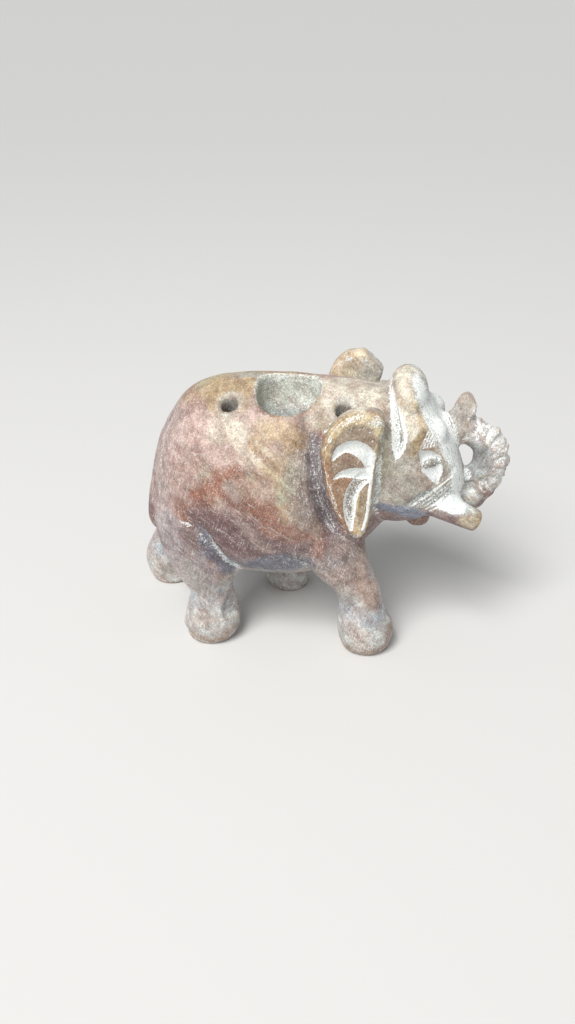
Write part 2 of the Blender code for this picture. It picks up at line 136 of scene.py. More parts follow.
room = bpy.data.worlds.new("room")
room.use_nodes = True
room.node_tree.nodes["Background"].inputs["Color"].default_value = ROOM_COLOUR
room.node_tree.nodes["Background"].inputs["Strength"].default_value = ROOM_STRENGTH
bpy.context.scene.world = room
bpy.context.scene.view_settings.view_transform = "Standard"

# ---- The carved elephant: the block
# One piece of banded stone, sawn, carved, bored and rubbed down by hand. Its surface is laid over
# the solid again with faces a few tenths of a millimetre long, and finer ones on the head, so that
# the carving can be cut into it. Everything from here on is counted in millimetres.
MILLIMETRE = 0.001
CELL = 0.47
RELAXING_ROUNDS = 14
SOLE_HOLD = 0.7
WELL_MIDDLE = (-3.937, -2.896)
WELL_HALF_WIDTH = 5.9
WELL_SQUARENESS = 2.9
WELL_FLOOR_HEIGHT = 48.0
STICK_HOLES = ((-14.54, -7.2), (-14.54, 7.2), (6.66, -7.2), (6.66, 7.2))
STICK_HOLE_HEIGHT = 54.3
STICK_HOLE_SLANT = 0.17
STICK_HOLE_REACH = 12
WELL_NEARBY = 1.12
HOLE_NEARBY = 2.7
BORED_FREEDOM = 0.8
FINE_BOXES = (
    ((3.0, -99.0, 29.0), (99.0, -6.2, 55.0)),
    ((29.5, -99.0, 33.0), (99.0, 1.5, 99.0)),
)


def even_skin(node, cell):
    """The node's surface, its doubles merged, as an even grid of faces of one cell's length."""
    mesh = node.data.copy()
    merging = bmesh.new()
    merging.from_mesh(mesh)
    bmesh.ops.remove_doubles(merging, verts=merging.verts, dist=1e-6)
    merging.to_mesh(mesh)
    merging.free()
    holder = bpy.data.objects.new("block", mesh)
    bpy.context.scene.collection.objects.link(holder)
    skin = holder.modifiers.new("skin", "REMESH")
    skin.mode = "VOXEL"
    skin.voxel_size = cell
    bpy.context.view_layer.update()
    seen = holder.evaluated_get(bpy.context.evaluated_depsgraph_get())
    laid = bpy.data.meshes.new_from_object(seen)
    bpy.data.objects.remove(holder)
    return laid


def finer(mesh, boxes):
    """Cuts each face whose middle lies in one of the boxes into four."""
    cutting = bmesh.new()
    cutting.from_mesh(mesh)
    middles = np.array([face.calc_center_median() for face in cutting.faces]) / MILLIMETRE
    within = [((middles > low) & (middles < high)).all(axis=1) for low, high in boxes]
    chosen = np.any(within, axis=0)
    faces = [face for face, take in zip(cutting.faces, chosen) if take]
    across = {edge: None for face in faces for edge in face.edges}
    bmesh.ops.subdivide_edges(cutting, edges=list(across), cuts=1, use_grid_fill=True)
    bmesh.ops.recalc_face_normals(cutting, faces=cutting.faces)
    cutting.to_mesh(mesh)
    cutting.free()


def points_of(mesh):
    """The mesh's points, in millimetres."""
    flat = np.empty(3 * len(mesh.vertices))
    mesh.vertices.foreach_get("co", flat)
    return flat.reshape(-1, 3) / MILLIMETRE


def put_back(mesh, points):
    """Gives the mesh these points, in millimetres."""
    mesh.vertices.foreach_set("co", (points * MILLIMETRE).ravel())
    mesh.update()


def outward_of(mesh):
    """The outward direction at each point of the mesh."""
    flat = np.empty(3 * len(mesh.vertices))
    mesh.vertex_normals.foreach_get("vector", flat)
    return flat.reshape(-1, 3)


def edges_of(mesh):
    """The pairs of points that the mesh's edges join."""
    flat = np.empty(2 * len(mesh.edges), dtype=np.int32)
    mesh.edges.foreach_get("vertices", flat)
    return flat.reshape(-1, 2)


def neighbour_mean(values, edges):
    """The mean of each point's neighbours along the edges, for one or several columns."""
    count = np.bincount(edges.ravel(), minlength=len(values))
    columns = values.reshape(len(values), -1)
    sums = np.empty_like(columns)
    for column in range(columns.shape[1]):
        there = np.bincount(edges[:, 0], columns[edges[:, 1], column], len(values))
        back = np.bincount(edges[:, 1], columns[edges[:, 0], column], len(values))
        sums[:, column] = there + back
    return (sums / np.maximum(count, 1)[:, None]).reshape(values.shape)


def relaxed(points, edges, rounds, freedom):
    """Smooths without shrinking: each round goes half way to the neighbours' mean and then a little
    further back, and each point moves by its own share of freedom."""
    for _ in range(rounds):
        for step in (0.5, -0.52):
            points = points + step * freedom[:, None] * (neighbour_mean(points, edges) - points)
    return points


def ramp(value, low, high):
    """Rises smoothly from nothing at low to one at high."""
    t = np.clip((value - low) / (high - low), 0, 1)
    return t * t * (3 - 2 * t)


def well_share(points):
    """How far out a point lies from the well's upright axis, as a share of its half width."""
    across = np.abs(points[:, :2] - WELL_MIDDLE) / WELL_HALF_WIDTH
    return (across**WELL_SQUARENESS).sum(axis=1) ** (1 / WELL_SQUARENESS)


def from_stick_hole(points):
    """How far each point lies sideways from the nearest stick hole's slanting axis."""
    rise = points[:, 2] - STICK_HOLE_HEIGHT
    away = [
        np.hypot(points[:, 0] - x, points[:, 1] - y - math.copysign(STICK_HOLE_SLANT, y) * rise)
        for x, y in STICK_HOLES
    ]
    return np.where(rise > -STICK_HOLE_REACH, np.min(away, axis=0), 99.0)


elephant_mesh = even_skin(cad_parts["carved_elephant"], CELL * MILLIMETRE)
finer(elephant_mesh, FINE_BOXES)
points = points_of(elephant_mesh)
edges = edges_of(elephant_mesh)
in_well = (well_share(points) < WELL_NEARBY) & (points[:, 2] > WELL_FLOOR_HEIGHT - 0.6)
bored = in_well | (from_stick_hole(points) < HOLE_NEARBY)
freedom = np.where(bored, BORED_FREEDOM, 1.0)
freedom = np.where(points[:, 2] < SOLE_HOLD, 0.0, freedom)
points = relaxed(points, edges, RELAXING_ROUNDS, freedom)
put_back(elephant_mesh, points)
outward = outward_of(elephant_mesh)

# ---- The carved elephant: the carving
# Cut by hand with small chisels and files: the ears' scrolls, the eyes, the wedge at the nape, the
# hatching on the cheeks, the rings of the trunk, and the flats left on the feet. A path's rows are
# (x, outward y, z, half width) on the right side, and the left side repeats them.
NEAR, FAR = -1, 1
EAR_MOVE = {NEAR: (0, 0, 0), FAR: (-0.5, 0.0, 2.1)}
EAR_STANDS_OUT = (9.6, 10.6)
SIDEWAYS_SHARE = 0.3
SAMPLES = 6
LATTICE = 32


def curve_through(rows, count):
    """A smooth curve through the rows, each piece bent by the rows before and after it."""
    knots = np.array(rows, float)
    ring = np.vstack([2 * knots[0] - knots[1], knots, 2 * knots[-1] - knots[-2]])
    spans = len(ring) - 3
    at = np.linspace(0, spans, count)
    span = np.minimum(at.astype(int), spans - 1)
    t = (at - span)[:, None]
    before, start, end, after = (ring[span + k] for k in range(4))
    bend = 2 * before - 5 * start + 4 * end - after
    twist = 3 * start - 3 * end + after - before
    return start + 0.5 * t * (end - before + t * (bend + t * twist))


def along_path(points, rows, side, reach=2.0):
    """Where each point lies by a path: how far inside its edge, across it, and along it.

    The distance to the path's nearest straight piece counts only a share of what lies sideways of
    the elephant, so that a path needn't lie exactly on the surface. Outside the path's own box the
    answer is far outside.
    """
    path = curve_through(rows, SAMPLES * len(rows))
    path[:, 1] = side * np.abs(path[:, 1])
    room = path[:, 3].max() + reach
    low, high = path[:, :3].min(axis=0) - room, path[:, :3].max(axis=0) + room
    low[1], high[1] = low[1] - 3, high[1] + 3
    near = np.nonzero(((points > low) & (points < high)).all(axis=1))[0]
    inside, across, along = (np.full(len(points), value) for value in (-9.0, 0.0, 0.0))
    if not len(near):
        return inside, across, along
    metric = np.array([1, SIDEWAYS_SHARE, 1])
    start, step = path[:-1, :3] * metric, np.diff(path[:, :3], axis=0) * metric
    length = np.maximum(np.linalg.norm(step, axis=1), 1e-9)
    offset = points[near][:, None] * metric - start
    t = np.clip((offset * step).sum(2) / length**2, 0, 1)
    away = np.linalg.norm(offset - t[:, :, None] * step, axis=2)
    depth = path[:-1, 3] + t * np.diff(path[:, 3]) - away
    best = depth.argmax(axis=1)
    rows_of = np.arange(len(near))
    inside[near] = depth[rows_of, best]
    turn = offset[rows_of, best]
    sign = np.sign(step[best, 0] * turn[:, 2] - step[best, 2] * turn[:, 0])
    across[near] = sign * away[rows_of, best]
    along[near] = (np.cumsum(length) - length)[best] + t[rows_of, best] * length[best]
    return inside, across, along


def depth_in(points, rows, side):
    """How far inside the path's edge each point lies."""
    return along_path(points, rows, side)[0]


def in_outline(points, outline):
    """How far each point lies inside a closed outline seen from the side, as (x, z) corners."""
    corners = np.array(outline, float)
    step = np.roll(corners, -1, axis=0) - corners
    offset = points[:, None, [0, 2]] - corners
    t = np.clip((offset * step).sum(2) / (step * step).sum(1), 0, 1)
    away = np.linalg.norm(offset - t[:, :, None] * step, axis=2).min(axis=1)
    ends = corners + step
    above = (corners[:, 1] > points[:, None, 2]) != (ends[:, 1] > points[:, None, 2])
    slope = step[:, 0] / np.where(step[:, 1] == 0, 1e-9, step[:, 1])
    crossing = corners[:, 0] + slope * (points[:, None, 2] - corners[:, 1])
    odd = (above & (points[:, None, 0] < crossing)).sum(axis=1) % 2 == 1
    return np.where(odd, away, -away)


def random_lattice(points, size, seed):
    """Smooth random heights from -1 to 1, by blending random values at the corners of cubes."""
    table = np.random.default_rng(seed).uniform(-1, 1, (LATTICE, LATTICE, LATTICE))
    place = points / size + 500
    corner = np.floor(place).astype(int)
    part = place - corner
    part = part * part * (3 - 2 * part)
    total = np.zeros(len(points))
    for dx in (0, 1):
        for dy in (0, 1):
            for dz in (0, 1):
                weight = (
                    (part[:, 0] if dx else 1 - part[:, 0])
                    * (part[:, 1] if dy else 1 - part[:, 1])
                    * (part[:, 2] if dz else 1 - part[:, 2])
                )
                total += weight * table[tuple((corner + (dx, dy, dz)).T % LATTICE)]
    return total


def moved(rows, shift):
    """The rows, each place moved by the shift."""
    return [(x + shift[0], y + shift[1], z + shift[2], *rest) for x, y, z, *rest in rows]


EAR_UPPER_SCROLL = (
    (5.3, 14.3, 46.7, 0.25),
    (6.2, 13.9, 48.1, 0.7),
    (7.4, 13.3, 48.9, 0.95),
    (9.2, 12.8, 48.8, 1.2),
    (10.9, 12.6, 47.6, 1.3),
    (11.9, 12.8, 46.2, 1.3),
    (12.0, 13.1, 45.2, 1.0),
)
EAR_LOWER_SCROLL = (
    (5.7, 14.7, 42.9, 0.2),
    (7.2, 13.8, 43.6, 0.65),
    (9.0, 13.3, 43.6, 0.95),
    (10.8, 12.9, 43.2, 1.15),
    (12.2, 13.2, 43.8, 0.9),
)
EAR_SCROLL_TAIL = (
    (10.9, 13.0, 42.4, 1.1),
    (9.5, 13.5, 40.6, 1.15),
    (8.8, 13.6, 38.0, 1.05),
    (8.8, 13.8, 34.8, 0.85),
    (9.2, 14.3, 31.8, 0.3),
)
EAR_FACE = (
    (4.9, 50.6),
    (6.0, 52.7),
    (8.3, 53.6),
    (10.8, 53.5),
    (12.6, 52.4),
    (13.3, 50.0),
    (12.9, 46.0),
    (12.2, 41.8),
    (12.1, 38.9),
    (12.0, 35.6),
    (11.5, 31.9),
    (10.0, 30.6),
    (8.6, 31.4),
    (6.9, 36.0),
    (5.5, 40.0),
    (4.6, 44.0),
    (4.2, 48.0),
)
EAR_EDGE = (
    (14.3, 53.3),
    (13.5, 49.1),
    (12.9, 43.3),
    (12.8, 37.1),
    (12.2, 31.3),
    (10.4, 28.9),
    (7.7, 31.3),
    (5.1, 36.7),
    (3.6, 43.0),
    (3.0, 47.7),
    (4.1, 51.7),
    (6.5, 54.7),
    (9.4, 55.7),
    (12.8, 55.3),
)
NAPE_WEDGE = (
    (15.0, 0.5, 56.6, 0.4),
    (15.6, 5.4, 54.3, 0.65),
    (16.4, 8.0, 51.3, 0.9),
    (16.9, 9.4, 49.0, 1.2),
    (16.9, 9.9, 46.8, 0.7),
    (16.9, 10.0, 45.6, 0.2),
)
NAPE_WEDGE_REAR = (
    (14.7, 1.4, 55.7, 0.2),
    (15.2, 4.9, 54.0, 0.25),
    (15.6, 7.6, 51.0, 0.25),
    (16.0, 9.4, 47.7, 0.3),
    (16.7, 9.9, 45.7, 0.35),
)
NAPE_WEDGE_FRONT = (
    (16.2, 5.9, 54.5, 0.2),
    (17.5, 8.4, 51.6, 0.35),
    (18.1, 9.5, 49.2, 0.35),
    (17.6, 10.0, 46.8, 0.35),
    (16.8, 10.0, 45.4, 0.3),
)
NECK_EDGE = ((14.3, 0.2, 55.6, 0.3), (14.4, 3.1, 55.1, 0.3), (14.4, 6.0, 53.6, 0.3))
EYE_CORNERS = ((20.9, 46.8), (22.9, 46.4), (24.9, 45.0), (25.4, 41.9), (24.8, 39.4), (21.6, 43.0))
PUPIL = (23.4, 43.9, 1.8, 1.1)
# A hatching: the two ends of its first stroke, the step to the next one, and how many.
CHEEK_HATCH = ((20.7, 9.3, 35.2), (27.4, 7.3, 40.5), (0.52, -0.66), 5)
BROW_HATCH = ((20.9, 9.0, 47.3), (22.3, 7.6, 50.4), (0.58, -0.06), 6)
HATCH_WIDTHS = (0.24, 0.3, 0.2)
HATCH_POWDER = 0.62
HAUNCH_CREASE = (
    (-20.9, 14.8, 33.6, 0.25),
    (-18.8, 14.8, 29.4, 0.5),
    (-16.2, 12.2, 22.1, 0.6),
    (-14.2, 11.4, 19.0, 0.5),
)
RUMP_GROOVE = (
    (-24.5, 3.5, 52.0, 0.2),
    (-27.3, 5.9, 46.3, 0.3),
    (-28.2, 8.8, 40.9, 0.35),
    (-29.0, 9.7, 34.7, 0.35),
    (-29.5, 11.3, 29.0, 0.25),
)
CHIP = ((-23.7, 14.6, 31.5, 0.15), (-22.6, 14.8, 31.2, 0.32), (-21.7, 14.6, 30.8, 0.15))
HOLLOW_EDGE = (
    (0.2, 9.5, 52.6, 2.6),
    (-0.8, 12.5, 49.0, 3.0),
    (-1.1, 14.6, 44.5, 3.0),
    (-0.6, 15.2, 40.0, 2.8),
    (0.6, 15.2, 35.9, 2.4),
    (3.0, 13.8, 31.0, 1.8),
)
HOLLOW_MIDDLE = (
    (1.6, 9.6, 48.5, 1.6),
    (2.1, 11.8, 43.8, 2.3),
    (3.0, 12.1, 38.0, 2.3),
    (4.5, 11.6, 32.7, 1.9),
    (6.3, 12.1, 29.3, 1.0),
)
FOREHEAD = (
    (19.4, 3.4, 57.9, 1.6),
    (22.2, 3.2, 53.4, 2.4),
    (24.5, 4.6, 50.5, 2.8),
    (26.8, 5.0, 46.0, 2.6),
    (28.3, 5.4, 42.0, 2.3),
    (29.2, 5.9, 37.6, 2.2),
)
SHOULDER_RAYS = (
    (8.8, 13.0, 29.5, 1.4),
    (7.4, 14.0, 25.5, 4.0),
    (6.4, 14.6, 20.0, 4.8),
    (7.6, 14.6, 15.5, 3.6),
)
# How deep each thing is cut.
SCROLL_DEPTH = 0.26
TAIL_DEPTH = 0.30
EAR_FACE_DEPTH = 0.45
EAR_SIDE_DEPTH = 0.6
WEDGE_DEPTH = 0.6
NECK_EDGE_DEPTH = 0.18
EYE_DEPTH = 0.34
EYEBALL_HEIGHT = 0.26
CHEEK_HATCH_DEPTH = 0.22
BROW_HATCH_DEPTH = 0.2
# What shows on the right side only: the rows, the cut's depth and edges, the powder and its
# edges, and how far out from the middle it begins.
RIGHT_SIDE_CUTS = (
    (RUMP_GROOVE, 0.22, (-0.3, 0.3), 0.42, (-0.3, 0.2), 0),
    (HAUNCH_CREASE, 0.45, (-0.2, 0.5), 0.40, (-0.2, 0.4), 6),
    (CHIP, 0.3, (-0.1, 0.4), 0.66, (-0.35, 0.1), 0),
)
# Places that are pushed a little, by how much and how far around: a corner of the well, and the
# foot of the trunk's opening.
PUSHES = (
    ((1.2, -8.2, 53.2), (-1.5, 2.0, 0.6), 4.6),
    ((29.6, -1.5, 37.9), (-0.2, 0.0, -1.5), 3.0),
    ((29.6, 1.5, 37.9), (-0.2, 0.0, -1.5), 3.0),
)
LEFT_EAR_TOP = (11.6, 11.5, 56.1)
LEFT_EAR_SLOPE = np.array([0.69, 0.0, 0.72])
TRUNK_MIDDLE = (30.9, 41.2)
TRUNK_GROOVE_ANGLES = (80, 61, 44, 23, 7, -13, -29, -49)
TRUNK_GROOVE_DEPTH = 0.30
TRUNK_GROOVE_WIDTH = 0.42
# Rounds of rubbing down.
HOLLOW_ROUNDS = 70
EAR_ROUNDS = 160
WELL_ROUNDS = 30
RIM_ROUNDS = 7
# Chisel cuts: how many, how far each reaches, how deep it goes, and the seed of its places.
FOOT_CUTS = (30, 6.5, 0.22, 5)
TRUNK_CUTS = (44, 2.2, 0.16, 7)


def hatch(start, end, step, count):
    """Parallel short strokes, each set off from the last by the step."""
    strokes = []
    for k in range(count):
        shorter = 0.10 * k
        a = np.array(start) + (step[0] * k, 0, step[1] * k)
        b = np.array(end) + (step[0] * k, 0, step[1] * k)
        a, b = a + (b - a) * shorter * 0.35, b - (b - a) * shorter * 0.5
        places = (a, (a + b) / 2, b)
        strokes.append([(*place, width) for place, width in zip(places, HATCH_WIDTHS)])
    return strokes


def softened(points, edges, share, rounds):
    """Rubs down a part of the surface: each round goes half way to the neighbours' mean."""
    for _ in range(rounds):
        points = points + 0.5 * share[:, None] * (neighbour_mean(points, edges) - points)
    return points


def chiselled(points, outward, zone, count, reach, depth, seed):
    """Flat cuts at random places of a zone: what stands above a cut's plane comes down to it."""
    chance = np.random.default_rng(seed)
    for at in chance.choice(np.nonzero(zone > 0.5)[0], count, replace=False):
        normal = outward[at] + chance.normal(0, 0.12, 3)
        normal = normal / np.linalg.norm(normal)
        offset = points - points[at]
        above = np.maximum(offset @ normal + depth, 0)
        share = zone * ramp(reach - np.linalg.norm(offset, axis=1), 0, 0.2 * reach)
        points = points - (above * share)[:, None] * normal
    return points


rubbed = np.zeros(len(points))
ear_share = np.zeros(len(points))
for side in (NEAR, FAR):
    ear_move = EAR_MOVE[side]
    inside = depth_in(points, moved(HOLLOW_EDGE, ear_move), side)
    rubbed = np.maximum(rubbed, ramp(inside, -1.0, 1.5) * ramp(side * outward[:, 1], -0.2, 0.3))
    out_far = ramp(side * outward[:, 1], 0.1, 0.5) * ramp(side * points[:, 1], *EAR_STANDS_OUT)
    face = in_outline(points - ear_move, EAR_FACE)
    ear_share = np.maximum(ear_share, ramp(face, -0.2, 0.8) * out_far)
rubbed = rubbed * ramp(well_share(points), 1.05, 1.5) * ramp(from_stick_hole(points), 2.4, 3.6)
points = softened(points, edges, rubbed, HOLLOW_ROUNDS)
points = softened(points, edges, ear_share, EAR_ROUNDS)
low_in_well = ramp(54.0 - points[:, 2], 0, 1.5) * (points[:, 2] > 46)
low_in_well = (well_share(points) < 1.05) * low_in_well
points = softened(points, edges, low_in_well, WELL_ROUNDS)
rim = ramp(well_share(points), 0.8, 0.95) * (1 - ramp(well_share(points), 1.1, 1.3))
rim = np.maximum(rim, ramp(3.2 - from_stick_hole(points), 0, 0.8)) * (points[:, 2] > 50)
points = softened(points, edges, rim, RIM_ROUNDS)
put_back(elephant_mesh, points)
outward = outward_of(elephant_mesh)

foot = ramp(14.0 - points[:, 2], 0, 2.5) * ramp(points[:, 2], 0.5, 1.4)
ring_x, ring_z = points[:, 0] - TRUNK_MIDDLE[0], points[:, 2] - TRUNK_MIDDLE[1]
ring_radius = np.hypot(ring_x, ring_z)
ring_angle = np.arctan2(ring_z, ring_x)
on_trunk = ramp(points[:, 0], 28.5, 30.5) * ramp(points[:, 2], 33.0, 35.0)
on_trunk = on_trunk * (np.abs(points[:, 1]) < 4.6)
points = chiselled(points, outward, foot, *FOOT_CUTS)
points = chiselled(points, outward, on_trunk * ramp(ring_radius, 4.0, 5.0), *TRUNK_CUTS)

for place, push, reach in PUSHES:
    away = np.linalg.norm(points - place, axis=1)
    points = points + ramp(reach - away, 0, reach)[:, None] * np.array(push)
on_left_ear = (points[:, 1] > 7.5) * ramp(points[:, 2], 52.0, 54.0) * (points[:, 0] < 15.5)
above = np.maximum((points - LEFT_EAR_TOP) @ LEFT_EAR_SLOPE, 0) * on_left_ear
points = points - above[:, None] * LEFT_EAR_SLOPE
cut = np.zeros(len(points))
dust = np.zeros(len(points))
grey_middle = np.zeros(len(points))
for side in (NEAR, FAR):
    facing = ramp(side * outward[:, 1], 0.15, 0.6)
    on_side = side * points[:, 1] > 0
    ear_move = EAR_MOVE[side]
    out_far = facing * ramp(side * points[:, 1], *EAR_STANDS_OUT)
    for rows in (EAR_UPPER_SCROLL, EAR_LOWER_SCROLL):
        inside = depth_in(points, moved(rows, ear_move), side)
        cut += SCROLL_DEPTH * ramp(inside, -0.14, 0.16) * out_far
        dust = np.maximum(dust, ramp(inside, -0.22, 0.08) * out_far)
    inside = depth_in(points, moved(EAR_SCROLL_TAIL, ear_move), side)
    cut += TAIL_DEPTH * ramp(inside, -0.2, 0.5) * out_far
    tail_white = 0.44 + 0.4 * ramp(0.35 - np.abs(inside), 0, 0.3)
    dust = np.maximum(dust, tail_white * ramp(inside, -0.3, 0.0) * out_far)
    grey_middle = np.maximum(grey_middle, 0.8 * ramp(inside, -0.1, 0.4) * out_far)
    face = in_outline(points - ear_move, EAR_FACE)
    edge = in_outline(points - ear_move, EAR_EDGE)
    cut += EAR_FACE_DEPTH * ramp(face, -0.3, 1.3) * out_far
    thinned = (1 - ramp(edge, -0.2, 1.9)) * ramp(edge, -1.6, -0.3) * out_far
    cut += EAR_SIDE_DEPTH * thinned * ramp(12.5 - points[:, 0], 0, 2.5)
    inside, across, _ = along_path(points, NAPE_WEDGE, side)
    cut += WEDGE_DEPTH * ramp(inside, -0.1, 0.9) * on_side
    wedge = ramp(inside, -0.45, -0.05) * on_side
    middle = ramp(0.75 - np.abs(across), 0, 0.4) * ramp(inside, 0.1, 0.4)
    middle = middle * ramp(54.5 - points[:, 2], 0, 2)
    dust = np.maximum(dust, wedge * (0.52 - 0.2 * middle))
    for border in (NAPE_WEDGE_REAR, NAPE_WEDGE_FRONT):
        inside = depth_in(points, border, side)
        dust = np.maximum(dust, 0.9 * ramp(inside, -0.1, 0.15) * on_side)
    grey_middle = np.maximum(grey_middle, wedge * middle)
    cut += NECK_EDGE_DEPTH * ramp(depth_in(points, NECK_EDGE, side), -0.1, 0.3) * on_side
    eye = in_outline(points, EYE_CORNERS)
    on_face = facing * on_side * (np.abs(points[:, 1]) > 5.5)
    cut += EYE_DEPTH * ramp(eye, -0.12, 0.3) * on_face
    ball = (points[:, [0, 2]] - PUPIL[:2]) / PUPIL[2:]
    ball = np.hypot(ball[:, 0], ball[:, 1])
    cut -= EYEBALL_HEIGHT * ramp(1.15 - ball, 0, 0.8) * on_face
    eye_white = ramp(eye, -0.35, 0.0) * (0.42 + 0.58 * ramp(ball, 0.9, 1.3))
    dust = np.maximum(dust, eye_white * on_face)
    grey_middle = np.maximum(grey_middle, 0.9 * ramp(1.25 - ball, 0, 0.4) * on_face)
    for lines, depth in ((CHEEK_HATCH, CHEEK_HATCH_DEPTH), (BROW_HATCH, BROW_HATCH_DEPTH)):
        for stroke in hatch(*lines):
            inside = depth_in(points, stroke, side)
            cut += depth * ramp(inside, -0.15, 0.25) * on_face
            dust = np.maximum(dust, HATCH_POWDER * ramp(inside, -0.25, 0.2) * on_face)
for rows, depth, cut_edges, white, white_edges, begins in RIGHT_SIDE_CUTS:
    inside = depth_in(points, rows, NEAR)
    cut += depth * ramp(inside, *cut_edges) * (points[:, 1] < -begins)
    dust = np.maximum(dust, white * ramp(inside, *white_edges) * (points[:, 1] < -begins))

for angle in TRUNK_GROOVE_ANGLES:
    bend = math.radians(angle) + 0.05 * random_lattice(points, 1.5, 8)
    gap = np.abs(np.angle(np.exp(1j * (ring_angle - bend)))) * ring_radius
    deep = TRUNK_GROOVE_DEPTH * (1 + 0.5 * random_lattice(points, 1.3, 9))
    groove = deep * np.exp(-((gap / TRUNK_GROOVE_WIDTH) ** 2))
    cut += groove * ramp(ring_radius, 4.2, 5.8) * on_trunk

# The stone's unevenness: broad swells from rubbing down, and coarse picking on the trunk, the rims
# of the ears and the feet.
soft = random_lattice(points, 7.0, 1) * 0.16 + random_lattice(points, 2.6, 2) * 0.06
coarse = random_lattice(points, 0.9, 3) * 0.08 + random_lattice(points, 1.7, 4) * 0.08
rim_picked = np.zeros(len(points))
for side in (NEAR, FAR):
    ear_move = EAR_MOVE[side]
    edge = in_outline(points - ear_move, EAR_EDGE)
    face = in_outline(points - ear_move, EAR_FACE)
    band = ramp(edge, -0.5, 0.3) * (1 - ramp(face, -0.2, 0.4)) * (side * points[:, 1] > 9)
    rim_picked = np.maximum(rim_picked, band)
picked = np.maximum(on_trunk * ramp(ring_radius, 3.6, 5.0), 0.4 * ramp(13 - points[:, 2], 0, 6))
picked = np.maximum(picked, 0.9 * rim_picked)
smooth_places = ramp(well_share(points), 1.0, 1.3) * ramp(points[:, 2], 0.1, 1.0)
cut += (soft + coarse * picked) * smooth_places
points = points - cut[:, None] * outward
points = np.clip(points, *(np.array(solid_box) / MILLIMETRE))
put_back(elephant_mesh, points)
outward = outward_of(elephant_mesh)

# ---- The carved elephant: its colours
# Bands and clouds of mauve, rust, plum, ochre and green run through the stone, and pale powder lies
# in the cuts and on the scuffed places. Some colours are painted light: painted shade low on the
# body, under the belly, behind the ears, in the well and in the stick holes, a painted blue
# reflection under the belly, and a painted highlight along the top of the back. The colours are laid
# on the points, broad ones everywhere and then the patches that show, each a path of
# (x, outward y, z, reach) rows.
EXPOSURE = (0.80, 0.86, 0.895)


def card(red, green, blue):
    """A paint card's values from 0 to 255 as the share of light that the stone gives back."""
    return np.array([(value / 255) ** 2.2 for value in (red, green, blue)]) * EXPOSURE


MAUVE = card(190, 163, 156)
ROSE = card(194, 156, 142)
RUST = card(158, 106, 86)
# Plum stone darkened into painted shade, for the lower body.
PLUM_SHADE = card(128, 98, 98)
OCHRE = card(198, 168, 126)
GOLD = card(222, 200, 158)
CREAM = card(230, 212, 188)
GREEN = card(184, 178, 142)
# Blue-grey of dust and a painted blue reflection in the shade under the belly.
REFLECTED_BLUE_AND_DUST = card(122, 128, 144)
SLATE = card(148, 152, 160)
# Painted shade for the hollow behind the ears, laid on lilac-grey stone.
HOLLOW_SHADE = card(128, 118, 120)
BROWN = card(176, 150, 126)
ORANGE = card(184, 134, 98)
POWDER = card(232, 239, 236)


def shown(colours, colour, share):
    """The colours with a share of this colour laid over them."""
    return colours + share[:, None] * (colour - colours)


def clouds(points, size, seed):
    """Soft random clouds from 0 to 1."""
    both = random_lattice(points, size, seed) + 0.5 * random_lattice(points, size / 2.3, seed + 50)
    return np.clip(0.5 + 0.55 * both, 0, 1)


# The stone's bed: its three directions, and how far the bands run along each.
BED = np.array([[0.78, 0.20, 0.60], [0.25, -0.97, 0.0], [-0.60, 0.15, 0.78]])
BED_STRETCH = (1.0, 0.6, 0.33)
bedded = (points @ BED.T) * BED_STRETCH
height = points[:, 2] + 2.5 * random_lattice(points, 7.0, 20)
tint = np.tile(MAUVE, (len(points), 1))
tint = shown(tint, ROSE, 0.8 * ramp(clouds(points, 9.0, 21), 0.35, 0.7))
tint = shown(tint, CREAM, 0.6 * ramp(clouds(points, 6.0, 22), 0.55, 0.85))
tint = shown(tint, OCHRE, 0.75 * ramp(height, 46, 54) * ramp(clouds(points, 7.0, 23), 0.3, 0.6))
tint = shown(tint, GREEN, 0.55 * ramp(clouds(bedded, 4.0, 24), 0.62, 0.85) * ramp(height, 28, 36))
# Painted shade: the body darkens to plum below the middle of the flank, where less light falls from
# above.
tint = shown(tint, PLUM_SHADE, 0.8 * ramp(38 - height, 0, 8) * ramp(height, 20, 26))
rusty = ramp(clouds(bedded, 3.4, 25), 0.52, 0.8) * ramp(height, 22, 30) * ramp(56 - height, 0, 8)
tint = shown(tint, RUST, 0.85 * rusty * ramp(12 - points[:, 0], 0, 6))
# Painted shade with a painted blue reflection from below, on the downward faces low on the body,
# partly blue-grey dust.
shaded_underside = ramp(26 - height, 0, 5) * ramp(height, 16, 20) * ramp(-outward[:, 2], 0.0, 0.6)
tint = shown(tint, REFLECTED_BLUE_AND_DUST, 0.6 * shaded_underside)
tint = shown(tint, SLATE, 0.5 * ramp(clouds(points, 5.0, 26), 0.6, 0.85) * ramp(34 - height, 0, 10))
by_the_head = ramp(points[:, 0], 4, 13) * ramp(height, 30, 40)
tint = shown(tint, card(204, 194, 180), 0.85 * by_the_head)
tint = shown(tint, CREAM, 0.5 * by_the_head * ramp(clouds(points, 4.0, 28), 0.4, 0.8))
leg_low = ramp(20 - height, 0, 6)
tint = shown(tint, card(216, 213, 207), 0.9 * leg_low)
ankle = ramp(15.5 - height, 0, 2.5) * ramp(height, 7.5, 10.0)
tint = shown(tint, card(182, 188, 196), 0.6 * ankle)
tint = shown(tint, card(196, 160, 140), 0.4 * leg_low * ramp(clouds(points, 4.0, 27), 0.5, 0.8))

